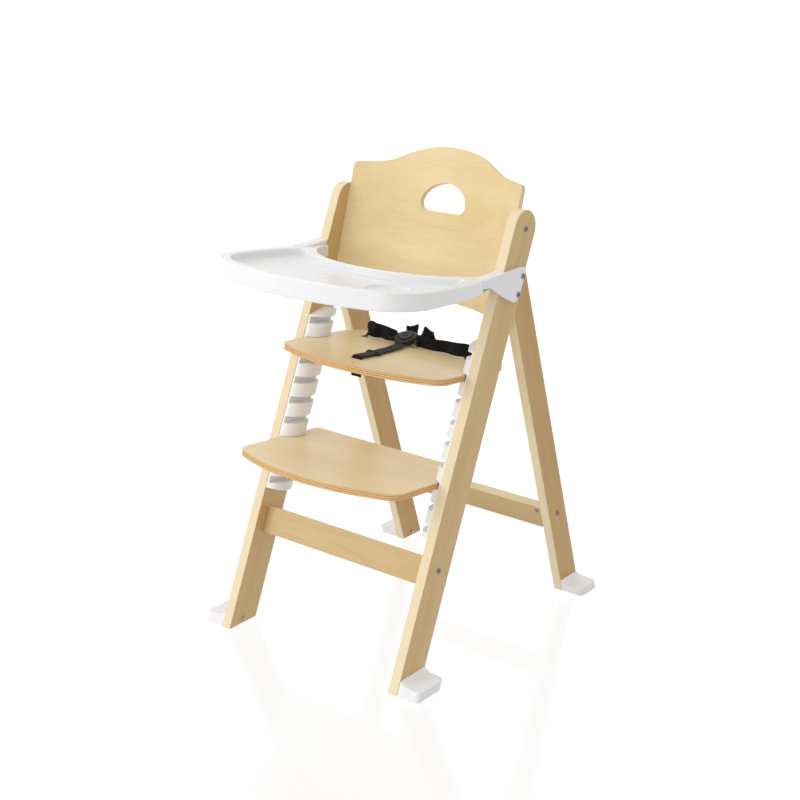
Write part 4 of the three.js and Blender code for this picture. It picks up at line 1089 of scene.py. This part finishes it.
def adjuster():
    """A sliding adjuster: a frame with a bar across its middle, which the strap passes over."""
    rounded = [(14.5, -7), (-14.5, -7), (-16.5, -5), (-16.5, 5)]
    rounded += [(-14.5, 7), (14.5, 7), (16.5, 5), (16.5, -5)]
    windows = [slit(0, 3.6, 27, 3.4), slit(0, -3.6, 27, 3.4)]
    frame_part = plate(rounded, -1.7, 1.7, windows, rounding=0.7, segments=3)
    bar = plate([(-14, -1.6), (14, -1.6), (14, 1.6), (-14, 1.6)], 1.0, 3.4, rounding=0.8, segments=3)
    return merge(frame_part, bar)


def seat_tag():
    """A blank folded label sewn under the seat's front."""
    points = [(19, -133, -6.3), (19, -134.4, -9), (19, -135.2, -12.5), (19, -135.4, -16.6)]
    return ribbon(points, [(1, 0, 0)] * 4, 24, 1.3)


ALONG_Y = Matrix(((0, 1, 0), (1, 0, 0), (0, 0, 1)))  # the grain of what runs along y
for (side, sign), rise in zip(SIDES, (27, 31)):
    piece(f"lap_strap_{side}_web", lap_strap(sign, rise), SEAT_FRAME, [WEBBING], "seat",
          [f"lap_strap_{side}"])
piece("crotch_strap_web", crotch_strap(), SEAT_FRAME, [WEBBING], "seat", ["crotch_strap"],
      grain=ALONG_Y)
for side, sign in SIDES:
    piece(f"shoulder_loop_{side}_web", shoulder_loop(sign), SEAT_FRAME, [WEBBING], "seat",
          [f"shoulder_loop_{side}"], grain=ALONG_Y)
piece("buckle_body_shell", buckle_body(), BUCKLE_FRAME, [BLACK], "seat", ["buckle_body"])
for turn in (0, 180):
    tongue_frame = BUCKLE_FRAME @ Matrix.Rotation(rad(turn), 4, "Z") @ Matrix.Translation((21, 0, 5))
    piece(f"strap_tongue_{turn}", strap_tongue(), tongue_frame, [BLACK], "seat", ())
piece("buckle_button_cap", buckle_button(), BUCKLE_FRAME, [BLACK], "buckle_button", ["buckle_button"])
adjuster_frame = SEAT_FRAME @ Matrix.Translation((CROTCH_SLIT[0], ADJUSTER_Y, 10.5))
piece("crotch_adjuster_frame", adjuster(), adjuster_frame, [BLACK], "seat", ["crotch_adjuster"])
piece("seat_tag_label", seat_tag(), SEAT_FRAME, [WEBBING], "seat", ["seat_tag"])


# ---------- Fasteners, dowels and latches: the CAD's own shapes, rounded ----------
def dress(node, material, width=0.25):
    """Gives a CAD node its material and bevels that are `width` millimetres wide."""
    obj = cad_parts[node]
    obj.data.materials.clear()
    obj.data.materials.append(material)
    bevel = obj.modifiers.new("bevel", "BEVEL")
    bevel.width = width * MM
    bevel.segments = 2
    bevel.limit_method = "ANGLE"
    bevel.angle_limit = rad(32)
    obj.modifiers.new("weighted", "WEIGHTED_NORMAL")


for side, _ in SIDES:
    for name in ("front_crossbar_bolt", "rear_crossbar_bolt", "backrest_bolt"):
        dress(f"{name}_{side}", STEEL)
    for name in ("front_foot_screw", "rear_foot_screw"):
        dress(f"{name}_{side}", PALE_STEEL)
    for order in (1, 2):
        dress(f"bracket_bolt_{side}_{order}", STEEL)
    for order in range(1, 6):
        dress(f"rail_screw_{side}_{order}", STEEL)
    dress(f"backrest_dowel_{side}", BEECH)
    # The latch takes the blue-grey painted shade of the bracket's underside.
    dress(f"tray_latch_{side}", LATCH_PAINTED_SHADE, 1.0)


# ---------- Floor, light and camera ----------
def floor_material():
    """A glowing white studio table under a thin gloss, which shows faint reflections of the feet."""
    n = Nodes("studio_floor")
    cloud = n.noise(n.place((1, 1, 1)), 1.3, 3)
    n.colour(n.mix(cloud, "#000000", "#020202"))
    n.link(n.mix(cloud, "#ffffff", "#fdfdfd"), n.shader.inputs["Emission Color"])
    n.rough(cloud, 0.12, 0.17)
    n.set(Emission_Strength=0.925, Specular_IOR_Level=0.75)
    return n.material


FLOOR_HALF = 30
corners = [(-1, -1), (1, -1), (1, 1), (-1, 1)]
floor_mesh = bpy.data.meshes.new("studio_floor")
floor_mesh.from_pydata([(FLOOR_HALF * x, FLOOR_HALF * y, 0) for x, y in corners], [], [(0, 1, 2, 3)])
floor_mesh.materials.append(floor_material())
floor = bpy.data.objects.new("studio_floor", floor_mesh)
floor.location.z = -0.0005  # just under the feet, so that no two faces share a plane
floor.visible_diffuse = False
bpy.context.scene.collection.objects.link(floor)


BRIGHT_SIDE = (-0.66, 0.30, 0.69)  # the way towards the brightest part of the sky


def studio_world():
    """White all round, brighter from above, behind and the child's right, and dimmer from their left."""
    world = bpy.data.worlds.new("studio")
    world.use_nodes = True
    nodes = world.node_tree.nodes
    links = world.node_tree.links
    place = nodes.new("ShaderNodeTexCoord")
    toward = nodes.new("ShaderNodeVectorMath")
    toward.operation = "DOT_PRODUCT"
    toward.inputs[1].default_value = Vector(BRIGHT_SIDE).normalized()
    strength = nodes.new("ShaderNodeMapRange")
    for name, value in (("From Min", -0.7), ("From Max", 0.45), ("To Min", 0.56), ("To Max", 0.97)):
        strength.inputs[name].default_value = value
    background = nodes["Background"]
    background.inputs["Color"].default_value = (1, 1, 1, 1)
    links.new(place.outputs["Generated"], toward.inputs[0])
    links.new(toward.outputs["Value"], strength.inputs["Value"])
    links.new(strength.outputs["Result"], background.inputs["Strength"])
    return world


bpy.context.scene.world = studio_world()


def area_light(name, place, target, size, power):
    data = bpy.data.lights.new(name, "AREA")
    data.shape = "RECTANGLE"
    data.size, data.size_y = size
    data.energy = power
    light = bpy.data.objects.new(name, data)
    light.location = place
    light.rotation_euler = (Vector(target) - Vector(place)).to_track_quat("-Z", "Y").to_euler()
    bpy.context.scene.collection.objects.link(light)


MIDDLE = (0, 0, 0.5)
area_light("key", (-1.5, -2.9, 1.7), MIDDLE, (1.6, 1.6), 27)
area_light("low", (0.9, -2.8, 0.7), MIDDLE, (1.6, 1.0), 9)

camera = bpy.data.objects.new("camera", bpy.data.cameras.new("camera"))
camera.data.sensor_width = 36
camera.data.lens = 68.03
heading = Matrix.Rotation(rad(37.625), 4, "Z")
pitch = Matrix.Rotation(rad(71.339), 4, "X")
roll = Matrix.Rotation(rad(0.633), 4, "Z")
camera.matrix_world = Matrix.Translation((1.7105, -2.2241, 1.3952)) @ (heading @ pitch @ roll)
bpy.context.scene.collection.objects.link(camera)
bpy.context.scene.camera = camera
bpy.context.scene.view_settings.view_transform = "Standard"
